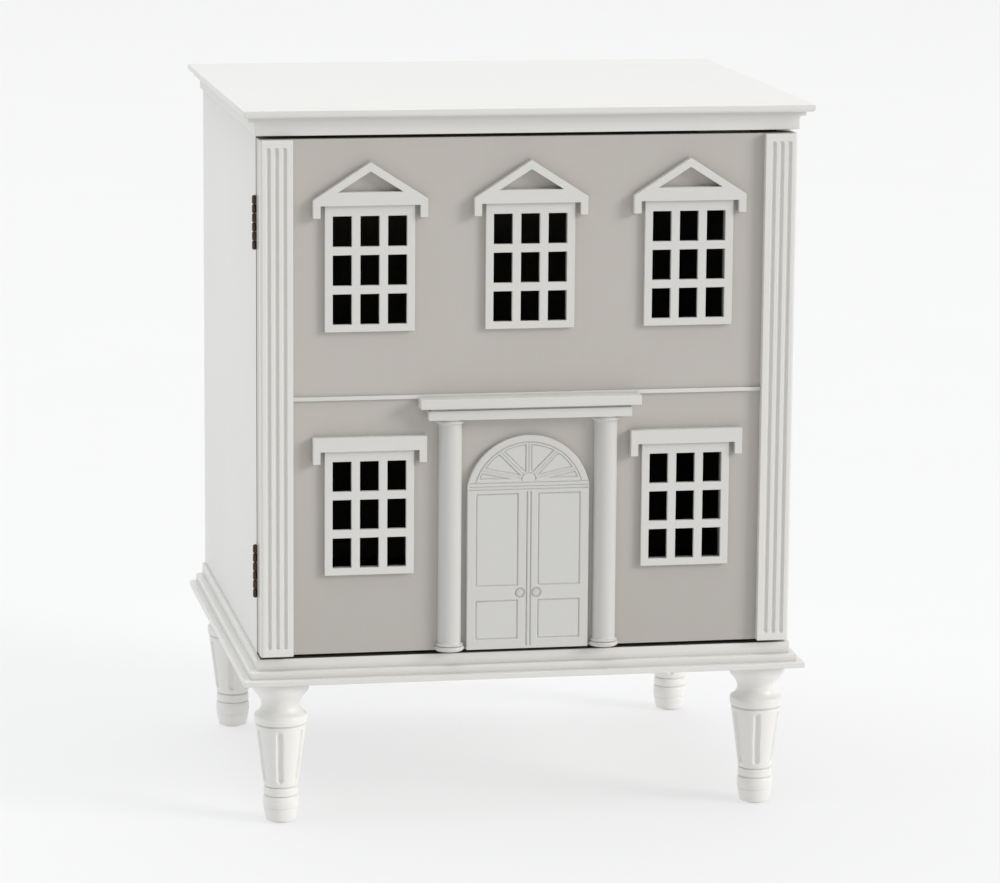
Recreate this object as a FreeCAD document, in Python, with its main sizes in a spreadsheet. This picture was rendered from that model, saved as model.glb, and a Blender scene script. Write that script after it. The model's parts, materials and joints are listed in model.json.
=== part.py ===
import FreeCAD, Part
import os
from math import pi

import Sketcher
from FreeCAD import Placement, Rotation, Vector

# A bedside cabinet made like a town house.  Millimetres, +Z up, floor at Z = 0,
# X centred on the cabinet, Y centred between the back and the front of the porch.

doc = FreeCAD.newDocument("house_cabinet")

sizeTable = {
    # carcass
    "caseWidth": 526.3,
    "caseDepth": 436.0,
    "caseHeight": 510.6,
    "sideThick": 15.0,
    "backThick": 6.0,
    "floorThick": 12.0,
    "floorLevel": 257.0,
    # cornice, from the top down
    "slabThick": 7.1,
    "slabOverSide": 16.0,
    "slabOverFront": 35.5,
    "slabRound": 3.6,
    "corniceThick": 5.2,
    "corniceNeck": 2.4,
    "corniceOverSide": 10.0,
    "corniceCove": 2.1,
    "corniceRound": 1.2,
    "friezeThick": 10.4,
    "plateOverSide": 3.2,
    # base, from the top down
    "stepThick": 11.3,
    "tierThick": 7.5,
    "tierOverSide": 10.0,
    "tierOverFront": 28.2,
    "tierRound": 2.4,
    "noseThick": 5.9,
    "noseOverSide": 16.8,
    "noseOverFront": 34.6,
    "noseRound": 2.0,
    # door
    "doorGap": 4.6,
    "doorThick": 18.0,
    "doorRise": 3.8,
    "doorTopGap": 3.2,
    # pilasters
    "pilasterWidth": 31.9,
    "pilasterThick": 8.0,
    "pilasterRound": 3.0,
    "fluteWidth": 4.4,
    "flutePitch": 7.8,
    "fluteDepth": 1.8,
    "fluteMargin": 7.5,
    "courseHeight": 3.9,
    "courseThick": 2.8,
    "courseLevel": 250.3,
    # windows
    "windowSpacing": 156.6,
    "windowWidth": 87.5,
    "windowThick": 5.0,
    "paneWidth": 18.6,
    "muntinWidth": 8.2,
    "railHeight": 8.1,
    "sillHeight": 7.1,
    "headHeight": 10.1,
    "upperWindowDrop": 64.0,
    "windowRise": 116.6,
    "lowerWindowLevel": 78.6,
    "cutoutMargin": 2.8,
    # hoods over the windows
    "hoodHalf": 55.6,
    "hoodThick": 9.0,
    "earWidth": 7.2,
    "earDrop": 11.9,
    "hoodGap": 0.3,
    "eavesHeight": 5.8,
    "gableRise": 35.9,
    "gableHoleHalf": 31.2,
    "gableHoleBase": 13.1,
    "gableHoleRise": 19.7,
    "barHeight": 13.7,
    # porch
    "porchTop": 251.8,
    "upperSlabHalf": 108.8,
    "upperSlabThick": 9.7,
    "upperSlabReach": 19.4,
    "lowerSlabHalf": 100.3,
    "lowerSlabThick": 11.8,
    "lowerSlabReach": 14.9,
    "shadowHeight": 2.4,
    "shadowDepth": 2.6,
    "columnSpacing": 153.9,
    "columnRadius": 11.6,
    "capitalRadius": 14.7,
    "capitalHeight": 4.6,
    "plinthRadius": 14.8,
    "plinthHeight": 7.3,
    "plinthFootIn": 0.8,
    "plinthFootRise": 1.4,
    "plinthShoulderDrop": 2.4,
    "plinthShoulderIn": 1.2,
    "plinthLip": 0.6,
    "columnFlare": 0.8,
    "columnFlareHeight": 1.6,
    "capitalFootIn": 0.6,
    "capitalFootRise": 0.8,
    # entrance board
    "entranceHalf": 60.4,
    "entranceSpring": 162.8,
    "archRise": 49.6,
    "entranceThick": 5.4,
    "reliefDepth": 1.2,
    "panelInner": 9.6,
    "panelWidth": 42.4,
    "upperPanelLevel": 62.7,
    "upperPanelHeight": 92.5,
    "lowerPanelLevel": 9.6,
    "lowerPanelHeight": 39.3,
    "seamWidth": 2.4,
    "seamHeight": 155.0,
    "knobSpacing": 16.0,
    "knobLevel": 55.9,
    "knobRadius": 4.2,
    "knobThick": 0.9,
    "fanLevel": 168.3,
    "fanRadius": 46.4,
    "fanCentreDrop": 17.4,
    "hubRadius": 7.4,
    "spokeWidth": 4.0,
    # legs
    "legHeight": 144.2,
    "legSpacing": 479.2,
    "legFrontSet": 2.3,
    "legBackSet": 390.6,
    "cupRadius": 28.6,
    "cupDrop": 11.0,
    "neckRadius": 19.1,
    "neckLevel": 119.5,
    "collarRadius": 26.3,
    "collarTop": 110.3,
    "collarBottom": 99.8,
    "grooveWidth": 1.6,
    "grooveDepth": 1.6,
    "shaftTopRadius": 25.0,
    "shaftBottomRadius": 16.6,
    "shaftBottom": 36.4,
    "ringRadius": 17.0,
    "ringBottom": 27.4,
    "ballRadius": 17.7,
    "ballLevel": 20.0,
    "ballBelly": 6.0,
    "ballLowIn": 0.6,
    "ballHighIn": 0.5,
    "shaftLip": 0.1,
    "collarLowIn": 0.4,
    "collarHighIn": 2.2,
    "collarBevel": 2.0,
    "neckLowFlare": 0.9,
    "neckLowDrop": 4.0,
    "neckHighFlare": 0.4,
    "neckHighRise": 3.4,
    "cupCurveRise": 7.6,
    "cupLowIn": 0.8,
    "footRadius": 13.9,
    "legFluteTop": 92.0,
    "legFluteBottom": 45.0,
    "legFluteRadius": 3.6,
    "legFluteSet": 1.2,
    "glideRadius": 9.0,
    "glideThick": 2.0,
    "legScrewRadius": 4.0,
    "legScrewDown": 30.0,
    "legScrewUp": 20.0,
    # dowels
    "dowelRadius": 4.0,
    "dowelInSide": 20.0,
    "dowelInBoard": 8.0,
    "dowelFront": 50.0,
    "dowelBack": 370.0,
    # hinges
    "hingeLength": 52.7,
    "hingeBarrel": 2.3,
    "hingeOut": 1.75,
    "hingePin": 1.1,
    "pinFit": 0.05,
    "leafReach": 14.6,
    "leafThick": 1.3,
    "leafRelief": 0.4,
    "strapLap": 0.5,
    "knuckleGap": 0.3,
    "upperHingeDrop": 111.3,
    "lowerHingeLevel": 57.8,
    "screwRadius": 1.5,
    "screwHead": 2.7,
    "screwLength": 13.0,
    "screwPitch": 18.5,
    "screwInset": 8.4,
    # catch
    "catchCentre": 196.0,
    "catchLength": 52.0,
    "catchDepth": 15.0,
    "catchHeight": 12.5,
    "magnetLength": 26.0,
    "magnetHeight": 7.0,
    "magnetDrop": 5.0,
    "magnetProud": 0.6,
    "strikeLength": 38.0,
    "strikeHeight": 9.0,
    "strikeThick": 1.2,
    "catchGap": 0.3,
    "catchScrewInset": 6.4,
    "catchScrewRadius": 1.6,
    "catchScrewHead": 3.0,
    "catchScrewHeadThick": 1.8,
    "catchScrewUp": 8.0,
    "strikeScrewPitch": 24.0,
    "strikeScrewLength": 11.0,
    "bumperRadius": 5.0,
    "bumperInset": 7.6,
    "bumperMargin": 30.0,
}

sheet = doc.addObject("Spreadsheet::Sheet", "sizes")
for row, (alias, number) in enumerate(sizeTable.items(), start=1):
    sheet.set("A%d" % row, alias)
    sheet.set("B%d" % row, str(number))
    sheet.setAlias("B%d" % row, alias)
doc.recompute()


class Size:
    """A sheet expression together with its value."""

    def __init__(self, text, value):
        self.text = text
        self.value = value

    @staticmethod
    def of(other):
        if isinstance(other, Size):
            return other
        return Size(repr(float(other)), float(other))

    def __add__(self, other):
        other = Size.of(other)
        return Size("(%s + %s)" % (self.text, other.text), self.value + other.value)

    def __sub__(self, other):
        other = Size.of(other)
        return Size("(%s - %s)" % (self.text, other.text), self.value - other.value)

    def __mul__(self, other):
        other = Size.of(other)
        return Size("(%s * %s)" % (self.text, other.text), self.value * other.value)

    def __truediv__(self, other):
        other = Size.of(other)
        return Size("(%s / %s)" % (self.text, other.text), self.value / other.value)

    def __radd__(self, other):
        return Size.of(other) + self

    def __rsub__(self, other):
        return Size.of(other) - self

    def __rmul__(self, other):
        return Size.of(other) * self

    def __neg__(self):
        return Size("(0 - %s)" % self.text, -self.value)


def z(name):
    return Size("sizes.%s" % name, float(sheet.get(name)))


# ---------------------------------------------------------------- drawing helpers

def bind(obj, prop, size):
    size = Size.of(size)
    obj.setExpression(prop, size.text)


def place(obj, x, y, level):
    bind(obj, "Placement.Base.x", x)
    bind(obj, "Placement.Base.y", y)
    bind(obj, "Placement.Base.z", level)


def box(label, x, y, level, length, width, height):
    obj = doc.addObject("Part::Box", label)
    obj.Label = label
    bind(obj, "Length", length)
    bind(obj, "Width", width)
    bind(obj, "Height", height)
    place(obj, x, y, level)
    return obj


def rod(label, x, y, level, radius, height, turn=None):
    obj = doc.addObject("Part::Cylinder", label)
    obj.Label = label
    obj.Placement = Placement(Vector(0, 0, 0), turn or Rotation())
    bind(obj, "Radius", radius)
    bind(obj, "Height", height)
    place(obj, x, y, level)
    return obj


def cone(label, x, y, level, radius1, radius2, height, turn=None):
    obj = doc.addObject("Part::Cone", label)
    obj.Label = label
    obj.Placement = Placement(Vector(0, 0, 0), turn or Rotation())
    bind(obj, "Radius1", radius1)
    bind(obj, "Radius2", radius2)
    bind(obj, "Height", height)
    place(obj, x, y, level)
    return obj


def join(label, pieces):
    obj = doc.addObject("Part::MultiFuse", label)
    obj.Label = label
    obj.Shapes = pieces
    return obj


def cut(label, base, tool):
    obj = doc.addObject("Part::Cut", label)
    obj.Label = label
    obj.Base = base
    obj.Tool = tool
    return obj


def common(label, first, second):
    obj = doc.addObject("Part::MultiCommon", label)
    obj.Label = label
    obj.Shapes = [first, second]
    return obj


def newBody(label):
    obj = doc.addObject("PartDesign::Body", label)
    obj.Label = label
    return obj


def newSketch(body, name, planeRole):
    sketch = body.newObject("Sketcher::SketchObject", name)
    plane = [part for part in body.Origin.OriginFeatures if part.Role == planeRole][0]
    sketch.AttachmentSupport = [(plane, "")]
    sketch.MapMode = "FlatFace"
    return sketch


def pin(sketch, geometry, point, x, y):
    """Holds one sketch point at bound distances from the sketch origin."""
    for kind, axis, size in (("DistanceX", -2, x), ("DistanceY", -1, y)):
        size = Size.of(size)
        if abs(size.value) < 1e-9:
            sketch.addConstraint(Sketcher.Constraint("PointOnObject", geometry, point, axis))
            continue
        index = sketch.addConstraint(Sketcher.Constraint(kind, -1, 1, geometry, point, size.value))
        sketch.setExpression("Constraints[%d]" % index, size.text)


def outline(sketch, corners):
    """A closed polygon; each corner is a pair of sizes."""
    first = sketch.GeometryCount
    count = len(corners)
    spots = [Vector(Size.of(a).value, Size.of(b).value, 0) for a, b in corners]
    for index in range(count):
        sketch.addGeometry(Part.LineSegment(spots[index], spots[(index + 1) % count]), False)
    for index in range(count):
        following = first + (index + 1) % count
        sketch.addConstraint(Sketcher.Constraint("Coincident", first + index, 2, following, 1))
    for index, (a, b) in enumerate(corners):
        pin(sketch, first + index, 1, a, b)


def rectangle(sketch, x, y, width, height):
    outline(sketch, [(x, y), (x + width, y), (x + width, y + height), (x, y + height)])


def slot(sketch, x, low, high, radius):
    """A tall slot with half-round ends; low and high are the two end centres."""
    first = sketch.GeometryCount
    cx, lowY, highY, rad = x.value, low.value, high.value, radius.value
    up = Vector(0, 0, 1)
    sketch.addGeometry(Part.LineSegment(Vector(cx - rad, highY, 0), Vector(cx - rad, lowY, 0)), False)
    sketch.addGeometry(Part.ArcOfCircle(Part.Circle(Vector(cx, lowY, 0), up, rad), pi, 2 * pi), False)
    sketch.addGeometry(Part.LineSegment(Vector(cx + rad, lowY, 0), Vector(cx + rad, highY, 0)), False)
    sketch.addGeometry(Part.ArcOfCircle(Part.Circle(Vector(cx, highY, 0), up, rad), 0, pi), False)
    left, bottom, right, top = range(first, first + 4)
    for one, onePoint, two, twoPoint in (
        (left, 2, bottom, 1),
        (bottom, 2, right, 1),
        (right, 2, top, 1),
        (top, 2, left, 1),
    ):
        sketch.addConstraint(Sketcher.Constraint("Tangent", one, onePoint, two, twoPoint))
    index = sketch.addConstraint(Sketcher.Constraint("Radius", bottom, rad))
    sketch.setExpression("Constraints[%d]" % index, radius.text)
    pin(sketch, bottom, 3, x, low)
    pin(sketch, top, 3, x, high)


def pad(body, name, sketch, length):
    feature = body.newObject("PartDesign::Pad", name)
    feature.Profile = sketch
    bind(feature, "Length", length)
    sketch.Visibility = False
    return feature


def pocket(body, name, sketch, length, reverse=False):
    feature = body.newObject("PartDesign::Pocket", name)
    feature.Profile = sketch
    feature.Reversed = reverse
    bind(feature, "Length", length)
    return feature


def roundEdges(body, name, base, radius, wanted):
    """Rounds the edges whose middle point passes the wanted() test."""
    doc.recompute()
    names = []
    for index, edge in enumerate(base.Shape.Edges, start=1):
        middle = edge.valueAt((edge.FirstParameter + edge.LastParameter) / 2)
        span = edge.BoundBox
        if wanted(middle, span):
            names.append("Edge%d" % index)
    feature = body.newObject("PartDesign::Fillet", name)
    feature.Base = (base, names)
    bind(feature, "Radius", radius)
    return feature


def near(first, second):
    return abs(first - second) < 1e-4


# ---------------------------------------------------------------- shared levels

sideFront = -(z("caseDepth") - (z("doorGap") + z("doorThick") + z("upperSlabReach"))) / 2
legTop = z("legHeight")
stepTop = legTop + z("noseThick") + z("tierThick") + z("stepThick")
friezeLevel = stepTop + z("caseHeight")
plateOverFront = z("doorGap") + z("doorThick")
innerWidth = z("caseWidth") - 2 * z("sideThick")
doorBack = sideFront - z("doorGap")
doorFront = doorBack - z("doorThick")
doorBottom = stepTop + z("doorRise")
doorHeight = z("caseHeight") - z("doorRise") - z("doorTopGap")
halfCase = z("caseWidth") / 2

# two rows of equal windows share what the door leaves below, between and above them
windowHeight = (
    doorHeight - z("lowerWindowLevel") - z("windowRise") - z("upperWindowDrop")) / 2
upperWindowLevel = doorHeight - z("upperWindowDrop") - windowHeight
paneHeight = (windowHeight - z("sillHeight") - z("headHeight") - 2 * z("railHeight")) / 3


def mouldedBoard(label, level, thick, overSide, overFront):
    """A board that overhangs the case at the sides and front; flush at the back."""
    body = newBody(label)
    sketch = newSketch(body, label + "_plan", "XY_Plane")
    half = halfCase + overSide
    rectangle(sketch, -half, -overFront, 2 * half, z("caseDepth") + overFront)
    board = pad(body, label + "_pad", sketch, thick)
    place(body, 0, sideFront, level)
    return body, board, half


def showyEdge(middle, span, half, front, level):
    """True for the left, right and front edges of a board at one level."""
    flat = near(middle.z, level) and near(span.ZLength, 0)
    return flat and (near(abs(middle.x), half) or near(middle.y, -front))


def sideEdge(middle, span, half, level):
    """True for the left and right edges of a board at one level."""
    return near(middle.z, level) and near(span.ZLength, 0) and near(abs(middle.x), half)


# ---------------------------------------------------------------- cornice boards

slabBody, slabPad, slabHalf = mouldedBoard(
    "top_slab",
    friezeLevel + z("friezeThick") + z("corniceNeck") + z("corniceThick"),
    z("slabThick"), z("slabOverSide"), z("slabOverFront"))
roundEdges(
    slabBody, "top_slab_round", slabPad, z("slabRound"),
    lambda middle, span: showyEdge(middle, span, slabHalf.value, z("slabOverFront").value, 0))

corniceBody = newBody("cornice_board")
neckSketch = newSketch(corniceBody, "cornice_neck_plan", "XY_Plane")
neckHalf = halfCase + z("plateOverSide")
rectangle(neckSketch, -neckHalf, -plateOverFront, 2 * neckHalf, z("caseDepth") + plateOverFront)
neckPad = pad(corniceBody, "cornice_neck", neckSketch, z("corniceNeck") + z("corniceThick"))
tierSketch = newSketch(corniceBody, "cornice_tier_plan", "XY_Plane")
bind(tierSketch, ".AttachmentOffset.Base.z", z("corniceNeck"))
tierHalf = halfCase + z("corniceOverSide")
rectangle(tierSketch, -tierHalf, -plateOverFront, 2 * tierHalf, z("caseDepth") + plateOverFront)
tierPad = pad(corniceBody, "cornice_tier", tierSketch, z("corniceThick"))
neckLevel = z("corniceNeck").value
coveFillet = roundEdges(
    corniceBody, "cornice_cove", tierPad, z("corniceCove"),
    lambda middle, span: sideEdge(middle, span, neckHalf.value, neckLevel))
roundEdges(
    corniceBody, "cornice_round", coveFillet, z("corniceRound"),
    lambda middle, span: sideEdge(middle, span, tierHalf.value, neckLevel))
place(corniceBody, 0, sideFront, friezeLevel + z("friezeThick"))


def plainPlate(label, level, thick):
    half = halfCase + z("plateOverSide")
    return box(label, -half, sideFront - plateOverFront, level,
               2 * half, z("caseDepth") + plateOverFront, thick)


# ---------------------------------------------------------------- dowels

alongX = Rotation(Vector(0, 1, 0), 90)
alongY = Rotation(Vector(1, 0, 0), -90)
alongBackY = Rotation(Vector(1, 0, 0), 90)

dowelRows = [("front", z("dowelFront")), ("back", z("dowelBack"))]
sideCentre = halfCase - z("sideThick") / 2
floorTop = stepTop + z("floorLevel")
dowelLength = z("dowelInSide") + z("dowelInBoard")
floorDowelLength = z("dowelInSide") + z("sideThick") / 2
dowels = []
for rowName, setBack in dowelRows:
    for sideName, sign in (("left", -1), ("right", 1)):
        tag = "%s_%s" % (rowName, sideName)
        dowels.append(rod("dowel_top_" + tag, sign * sideCentre, sideFront + setBack,
                          friezeLevel - z("dowelInSide"), z("dowelRadius"), dowelLength))
        dowels.append(rod("dowel_base_" + tag, sign * sideCentre, sideFront + setBack,
                          stepTop - z("dowelInBoard"), z("dowelRadius"), dowelLength))
        start = -sideCentre if sign < 0 else sideCentre - floorDowelLength
        dowels.append(rod("dowel_floor_" + tag, start, sideFront + setBack,
                          floorTop - z("floorThick") / 2, z("dowelRadius"), floorDowelLength,
                          alongX))
dowelSet = join("dowels", dowels)

# ---------------------------------------------------------------- legs and their screws

legSpots = [
    ("leg_front_left", -1, z("legFrontSet")),
    ("leg_front_right", 1, z("legFrontSet")),
    ("leg_back_left", -1, z("legBackSet")),
    ("leg_back_right", 1, z("legBackSet")),
]
legScrews = join("leg_screws", [
    rod(label + "_screw", sign * z("legSpacing") / 2, sideFront + setBack,
        legTop - z("legScrewDown"), z("legScrewRadius"), z("legScrewDown") + z("legScrewUp"))
    for label, sign, setBack in legSpots])
glides = join("foot_glides", [
    rod(label + "_glide", sign * z("legSpacing") / 2, sideFront + setBack,
        0, z("glideRadius"), z("glideThick"))
    for label, sign, setBack in legSpots])

legFluteCount = 6
legTurn = Rotation(Vector(0, 0, 1), -100)
scoopCorner = 0.7  # share of the scoop's radius at its 45 degree corner
shaftSlope = (z("shaftTopRadius") - z("shaftBottomRadius")) / (z("collarBottom") - z("shaftBottom"))


def shaftRadiusAt(level):
    return z("shaftBottomRadius") + (level - z("shaftBottom")) * shaftSlope


def makeLeg(label, sign, setBack):
    body = newBody(label)
    profile = newSketch(body, label + "_profile", "XZ_Plane")
    groove = z("grooveWidth")
    deep = z("grooveDepth")
    cupMiddle = (z("cupRadius") + z("neckRadius")) / 2
    outline(profile, [
        (0, z("glideThick")),
        (z("footRadius"), z("glideThick")),
        (z("ballRadius") - z("ballLowIn"), z("ballLevel") - z("ballBelly")),
        (z("ballRadius"), z("ballLevel")),
        (z("ballRadius") - z("ballHighIn"), z("ringBottom") - groove / 2),
        (z("ringRadius") - deep, z("ringBottom")),
        (z("ringRadius"), z("ringBottom") + groove / 2),
        (z("ringRadius"), z("shaftBottom") - groove / 2),
        (z("shaftBottomRadius") - deep, z("shaftBottom")),
        (z("shaftBottomRadius") + z("shaftLip"), z("shaftBottom") + groove / 2),
        (z("shaftTopRadius"), z("collarBottom") - groove / 2),
        (z("shaftTopRadius") - deep, z("collarBottom")),
        (z("collarRadius") - z("collarLowIn"), z("collarBottom") + groove / 2),
        (z("collarRadius"), z("collarTop") - z("collarBevel")),
        (z("collarRadius") - z("collarHighIn"), z("collarTop")),
        (z("neckRadius") + z("neckLowFlare"), z("neckLevel") - z("neckLowDrop")),
        (z("neckRadius"), z("neckLevel")),
        (z("neckRadius") + z("neckHighFlare"), z("neckLevel") + z("neckHighRise")),
        (cupMiddle, z("neckLevel") + z("cupCurveRise")),
        (z("cupRadius") - z("cupLowIn"), legTop - z("cupDrop")),
        (z("cupRadius"), legTop - z("cupDrop") / 2),
        (z("cupRadius"), legTop),
        (0, legTop),
    ])
    turned = body.newObject("PartDesign::Revolution", label + "_turned")
    turned.Profile = profile
    turned.ReferenceAxis = (profile, ["V_Axis"])
    turned.Angle = 360
    flute = newSketch(body, label + "_flute", "XZ_Plane")
    topX = shaftRadiusAt(z("legFluteTop")) + z("legFluteSet")
    lowX = shaftRadiusAt(z("legFluteBottom")) + z("legFluteSet")
    wide = z("legFluteRadius")
    outline(flute, [
        (lowX, z("legFluteBottom") - wide),
        (topX, z("legFluteTop") + wide),
        (topX - wide * scoopCorner, z("legFluteTop") + wide * scoopCorner),
        (topX - wide, z("legFluteTop")),
        (lowX - wide, z("legFluteBottom")),
        (lowX - wide * scoopCorner, z("legFluteBottom") - wide * scoopCorner),
    ])
    scoop = body.newObject("PartDesign::Groove", label + "_scoop")
    scoop.Profile = flute
    scoop.ReferenceAxis = (flute, ["Edge1"])
    scoop.Angle = 360
    around = body.newObject("PartDesign::PolarPattern", label + "_flutes")
    around.Originals = [scoop]
    around.Axis = (profile, ["V_Axis"])
    around.Angle = 360
    around.Occurrences = legFluteCount
    body.Tip = around
    body.Placement = Placement(Vector(0, 0, 0), legTurn)
    place(body, sign * z("legSpacing") / 2, sideFront + setBack, 0)
    return body


legs = []
for label, sign, setBack in legSpots:
    turnedLeg = makeLeg(label + "_wood", sign, setBack)
    legs.append(cut(label, turnedLeg, legScrews))

# ---------------------------------------------------------------- carcass boards

friezeBlank = plainPlate("frieze_blank", friezeLevel, z("friezeThick"))
stepBlank = plainPlate("step_blank", stepTop - z("stepThick"), z("stepThick"))
step = cut("base_step_board", stepBlank, join("step_fixings", [dowelSet, legScrews]))

tierBody, tierBoard, baseTierHalf = mouldedBoard(
    "base_tier_wood", legTop + z("noseThick"), z("tierThick"),
    z("tierOverSide"), z("tierOverFront"))
roundEdges(
    tierBody, "base_tier_round", tierBoard, z("tierRound"),
    lambda middle, span: showyEdge(
        middle, span, baseTierHalf.value, z("tierOverFront").value, z("tierThick").value))
tier = cut("base_tier_board", tierBody, legScrews)

noseBody, noseBoard, noseHalf = mouldedBoard(
    "base_nose_wood", legTop, z("noseThick"), z("noseOverSide"), z("noseOverFront"))
roundEdges(
    noseBody, "base_nose_round", noseBoard, z("noseRound"),
    lambda middle, span: showyEdge(
        middle, span, noseHalf.value, z("noseOverFront").value, z("noseThick").value))
nose = cut("base_nose_board", noseBody, legScrews)

back = box("back_panel", -innerWidth / 2, sideFront + z("caseDepth") - z("backThick"), stepTop,
           innerWidth, z("backThick"), z("caseHeight"))
floorBlank = box("floor_blank", -innerWidth / 2, sideFront, floorTop - z("floorThick"),
                 innerWidth, z("caseDepth") - z("backThick"), z("floorThick"))
midFloor = cut("middle_floor", floorBlank, dowelSet)

# ---------------------------------------------------------------- hinges

hingeX = -halfCase - z("hingeOut")
hingeY = sideFront - z("doorGap") / 2
knucklePitch = z("hingeLength") / 6
hingeLevels = [("upper", z("caseHeight") - z("upperHingeDrop")), ("lower", z("lowerHingeLevel"))]


def countersunk(label, x, y, level, towardBack, plateThick, length):
    """One countersunk screw; the head is flush at y and the point goes along Y."""
    turn = alongY if towardBack else alongBackY
    head = cone(label + "_head", x, y, level, z("screwHead"), z("screwRadius"), plateThick, turn)
    shank = rod(label + "_shank", x, y, level, z("screwRadius"), length, turn)
    return join(label, [head, shank])


def makeScrews(label, y, towardBack):
    screws = []
    for place1, level in hingeLevels:
        for index in (-1, 0, 1):
            screws.append(countersunk(
                "%s_%s_%d" % (label, place1, index + 2), hingeX + z("screwInset"), y,
                stepTop + level + z("hingeLength") / 2 + index * z("screwPitch"), towardBack,
                z("leafThick"), z("screwLength")))
    return join(label, screws)


sideScrews = makeScrews("hinge_side_screws", sideFront - z("leafThick"), True)
doorScrews = makeScrews("hinge_door_screws", doorBack + z("leafThick"), False)


def makeLeaf(label, place1, level, faceY, onDoor, screws):
    """A hinge leaf with three of the six knuckles; the top knuckle is the door's."""
    base = stepTop + level
    plate = box(label + "_plate", hingeX + z("hingeBarrel") + z("leafRelief"), faceY, base,
                z("leafReach") - z("hingeBarrel") - z("leafRelief"), z("leafThick"),
                z("hingeLength"))
    pieces = [plate]
    bore = z("hingePin") + (z("pinFit") if onDoor else 0)
    for index in range(3):
        start = base + knucklePitch * (2 * index + (1 if onDoor else 0)) + z("knuckleGap") / 2
        high = knucklePitch - z("knuckleGap")
        pieces.append(rod("%s_knuckle_%d" % (label, index + 1), hingeX, hingeY, start,
                          z("hingeBarrel"), high))
        pieces.append(box("%s_strap_%d" % (label, index + 1), hingeX, faceY, start,
                          z("hingeBarrel") + z("leafRelief") + z("strapLap"), z("leafThick"), high))
    solid = join(label + "_solid", pieces)
    boring = rod(label + "_bore", hingeX, hingeY, base - 1, bore, z("hingeLength") + 2)
    return cut(label, cut(label + "_bored", solid, boring), screws)


leaves = []
pins = []
for place1, level in hingeLevels:
    leaves.append(makeLeaf("hinge_%s_side_leaf" % place1, place1, level,
                           sideFront - z("leafThick"), False, sideScrews))
    leaves.append(makeLeaf("hinge_%s_door_leaf" % place1, place1, level,
                           doorBack, True, doorScrews))
    pins.append(rod("hinge_%s_pin" % place1, hingeX, hingeY, stepTop + level,
                    z("hingePin"), z("hingeLength")))

# ---------------------------------------------------------------- side panels

leftBlank = box("left_blank", -halfCase, sideFront, stepTop,
                z("sideThick"), z("caseDepth"), z("caseHeight"))
left = cut("left_side", leftBlank, join("left_fixings", [dowelSet, sideScrews]))
rightBlank = box("right_blank", halfCase - z("sideThick"), sideFront, stepTop,
                 z("sideThick"), z("caseDepth"), z("caseHeight"))
right = cut("right_side", rightBlank, dowelSet)

# ---------------------------------------------------------------- magnetic catch

catchFront = doorBack + z("strikeThick") + z("catchGap")
housingFront = catchFront + z("magnetProud")
housing = box("catch_blank", z("catchCentre") - z("catchLength") / 2, housingFront,
              friezeLevel - z("catchHeight"), z("catchLength"), z("catchDepth"),
              z("catchHeight"))
magnet = box("catch_magnet", z("catchCentre") - z("magnetLength") / 2, catchFront,
             friezeLevel - z("magnetDrop") - z("magnetHeight"), z("magnetLength"),
             z("catchDepth") - 4, z("magnetHeight"))
catchScrews = join("catch_screws", [
    join("catch_screw_%d" % (sign + 2), [
        rod("catch_head_%d" % (sign + 2), catchX, catchY, friezeLevel - z("catchHeight"),
            z("catchScrewHead"), z("catchScrewHeadThick")),
        rod("catch_shank_%d" % (sign + 2), catchX, catchY, friezeLevel - z("catchHeight"),
            z("catchScrewRadius"), z("catchHeight") + z("catchScrewUp"))])
    for sign, catchX, catchY in [
        (sign, z("catchCentre") + sign * (z("catchLength") / 2 - z("catchScrewInset")),
         housingFront + z("catchDepth") / 2) for sign in (-1, 1)]])
cut("catch_housing", housing, join("catch_hollows", [magnet, catchScrews]))
cut("frieze_board", friezeBlank, join("frieze_fixings", [dowelSet, catchScrews]))
strikeLevel = friezeLevel - z("magnetDrop") - z("magnetHeight") / 2
strikeScrews = join("strike_screws", [
    countersunk("strike_screw_%d" % (sign + 2),
                z("catchCentre") + sign * z("strikeScrewPitch") / 2,
                doorBack + z("strikeThick"), strikeLevel, False,
                z("strikeThick"), z("strikeScrewLength"))
    for sign in (-1, 1)])
strikeBlank = box("strike_blank", z("catchCentre") - z("strikeLength") / 2, doorBack,
                  strikeLevel - z("strikeHeight") / 2,
                  z("strikeLength"), z("strikeThick"), z("strikeHeight"))
cut("catch_strike", strikeBlank, strikeScrews)
bumpers = join("door_bumpers", [
    rod("bumper_" + name, halfCase - z("bumperInset"), doorBack, level,
        z("bumperRadius"), z("doorGap") - z("catchGap"), alongY)
    for name, level in (
        ("low", doorBottom + z("bumperMargin")),
        ("high", doorBottom + doorHeight - z("bumperMargin")))])

# ---------------------------------------------------------------- door panel

paneFieldWidth = 3 * z("paneWidth") + 2 * z("muntinWidth")
paneFieldHeight = 3 * paneHeight + 2 * z("railHeight")
windowSpots = [
    ("upper_left", -z("windowSpacing"), upperWindowLevel),
    ("upper_centre", 0 * z("windowSpacing"), upperWindowLevel),
    ("upper_right", z("windowSpacing"), upperWindowLevel),
    ("lower_left", -z("windowSpacing"), z("lowerWindowLevel")),
    ("lower_right", z("windowSpacing"), z("lowerWindowLevel")),
]
panel = newBody("door_wood")
panelSketch = newSketch(panel, "door_outline", "XZ_Plane")
rectangle(panelSketch, -halfCase, 0, 2 * halfCase, doorHeight)
margin = z("cutoutMargin")
for name, centre, level in windowSpots:
    low = level + z("sillHeight") - margin
    rectangle(panelSketch, centre - paneFieldWidth / 2 - margin, low,
              paneFieldWidth + 2 * margin, paneFieldHeight + 2 * margin)
pad(panel, "door_pad", panelSketch, z("doorThick"))
place(panel, 0, doorBack, doorBottom)
cut("door_panel", panel, join("door_fixings", [doorScrews, strikeScrews]))

# ---------------------------------------------------------------- pilasters and string course


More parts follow.
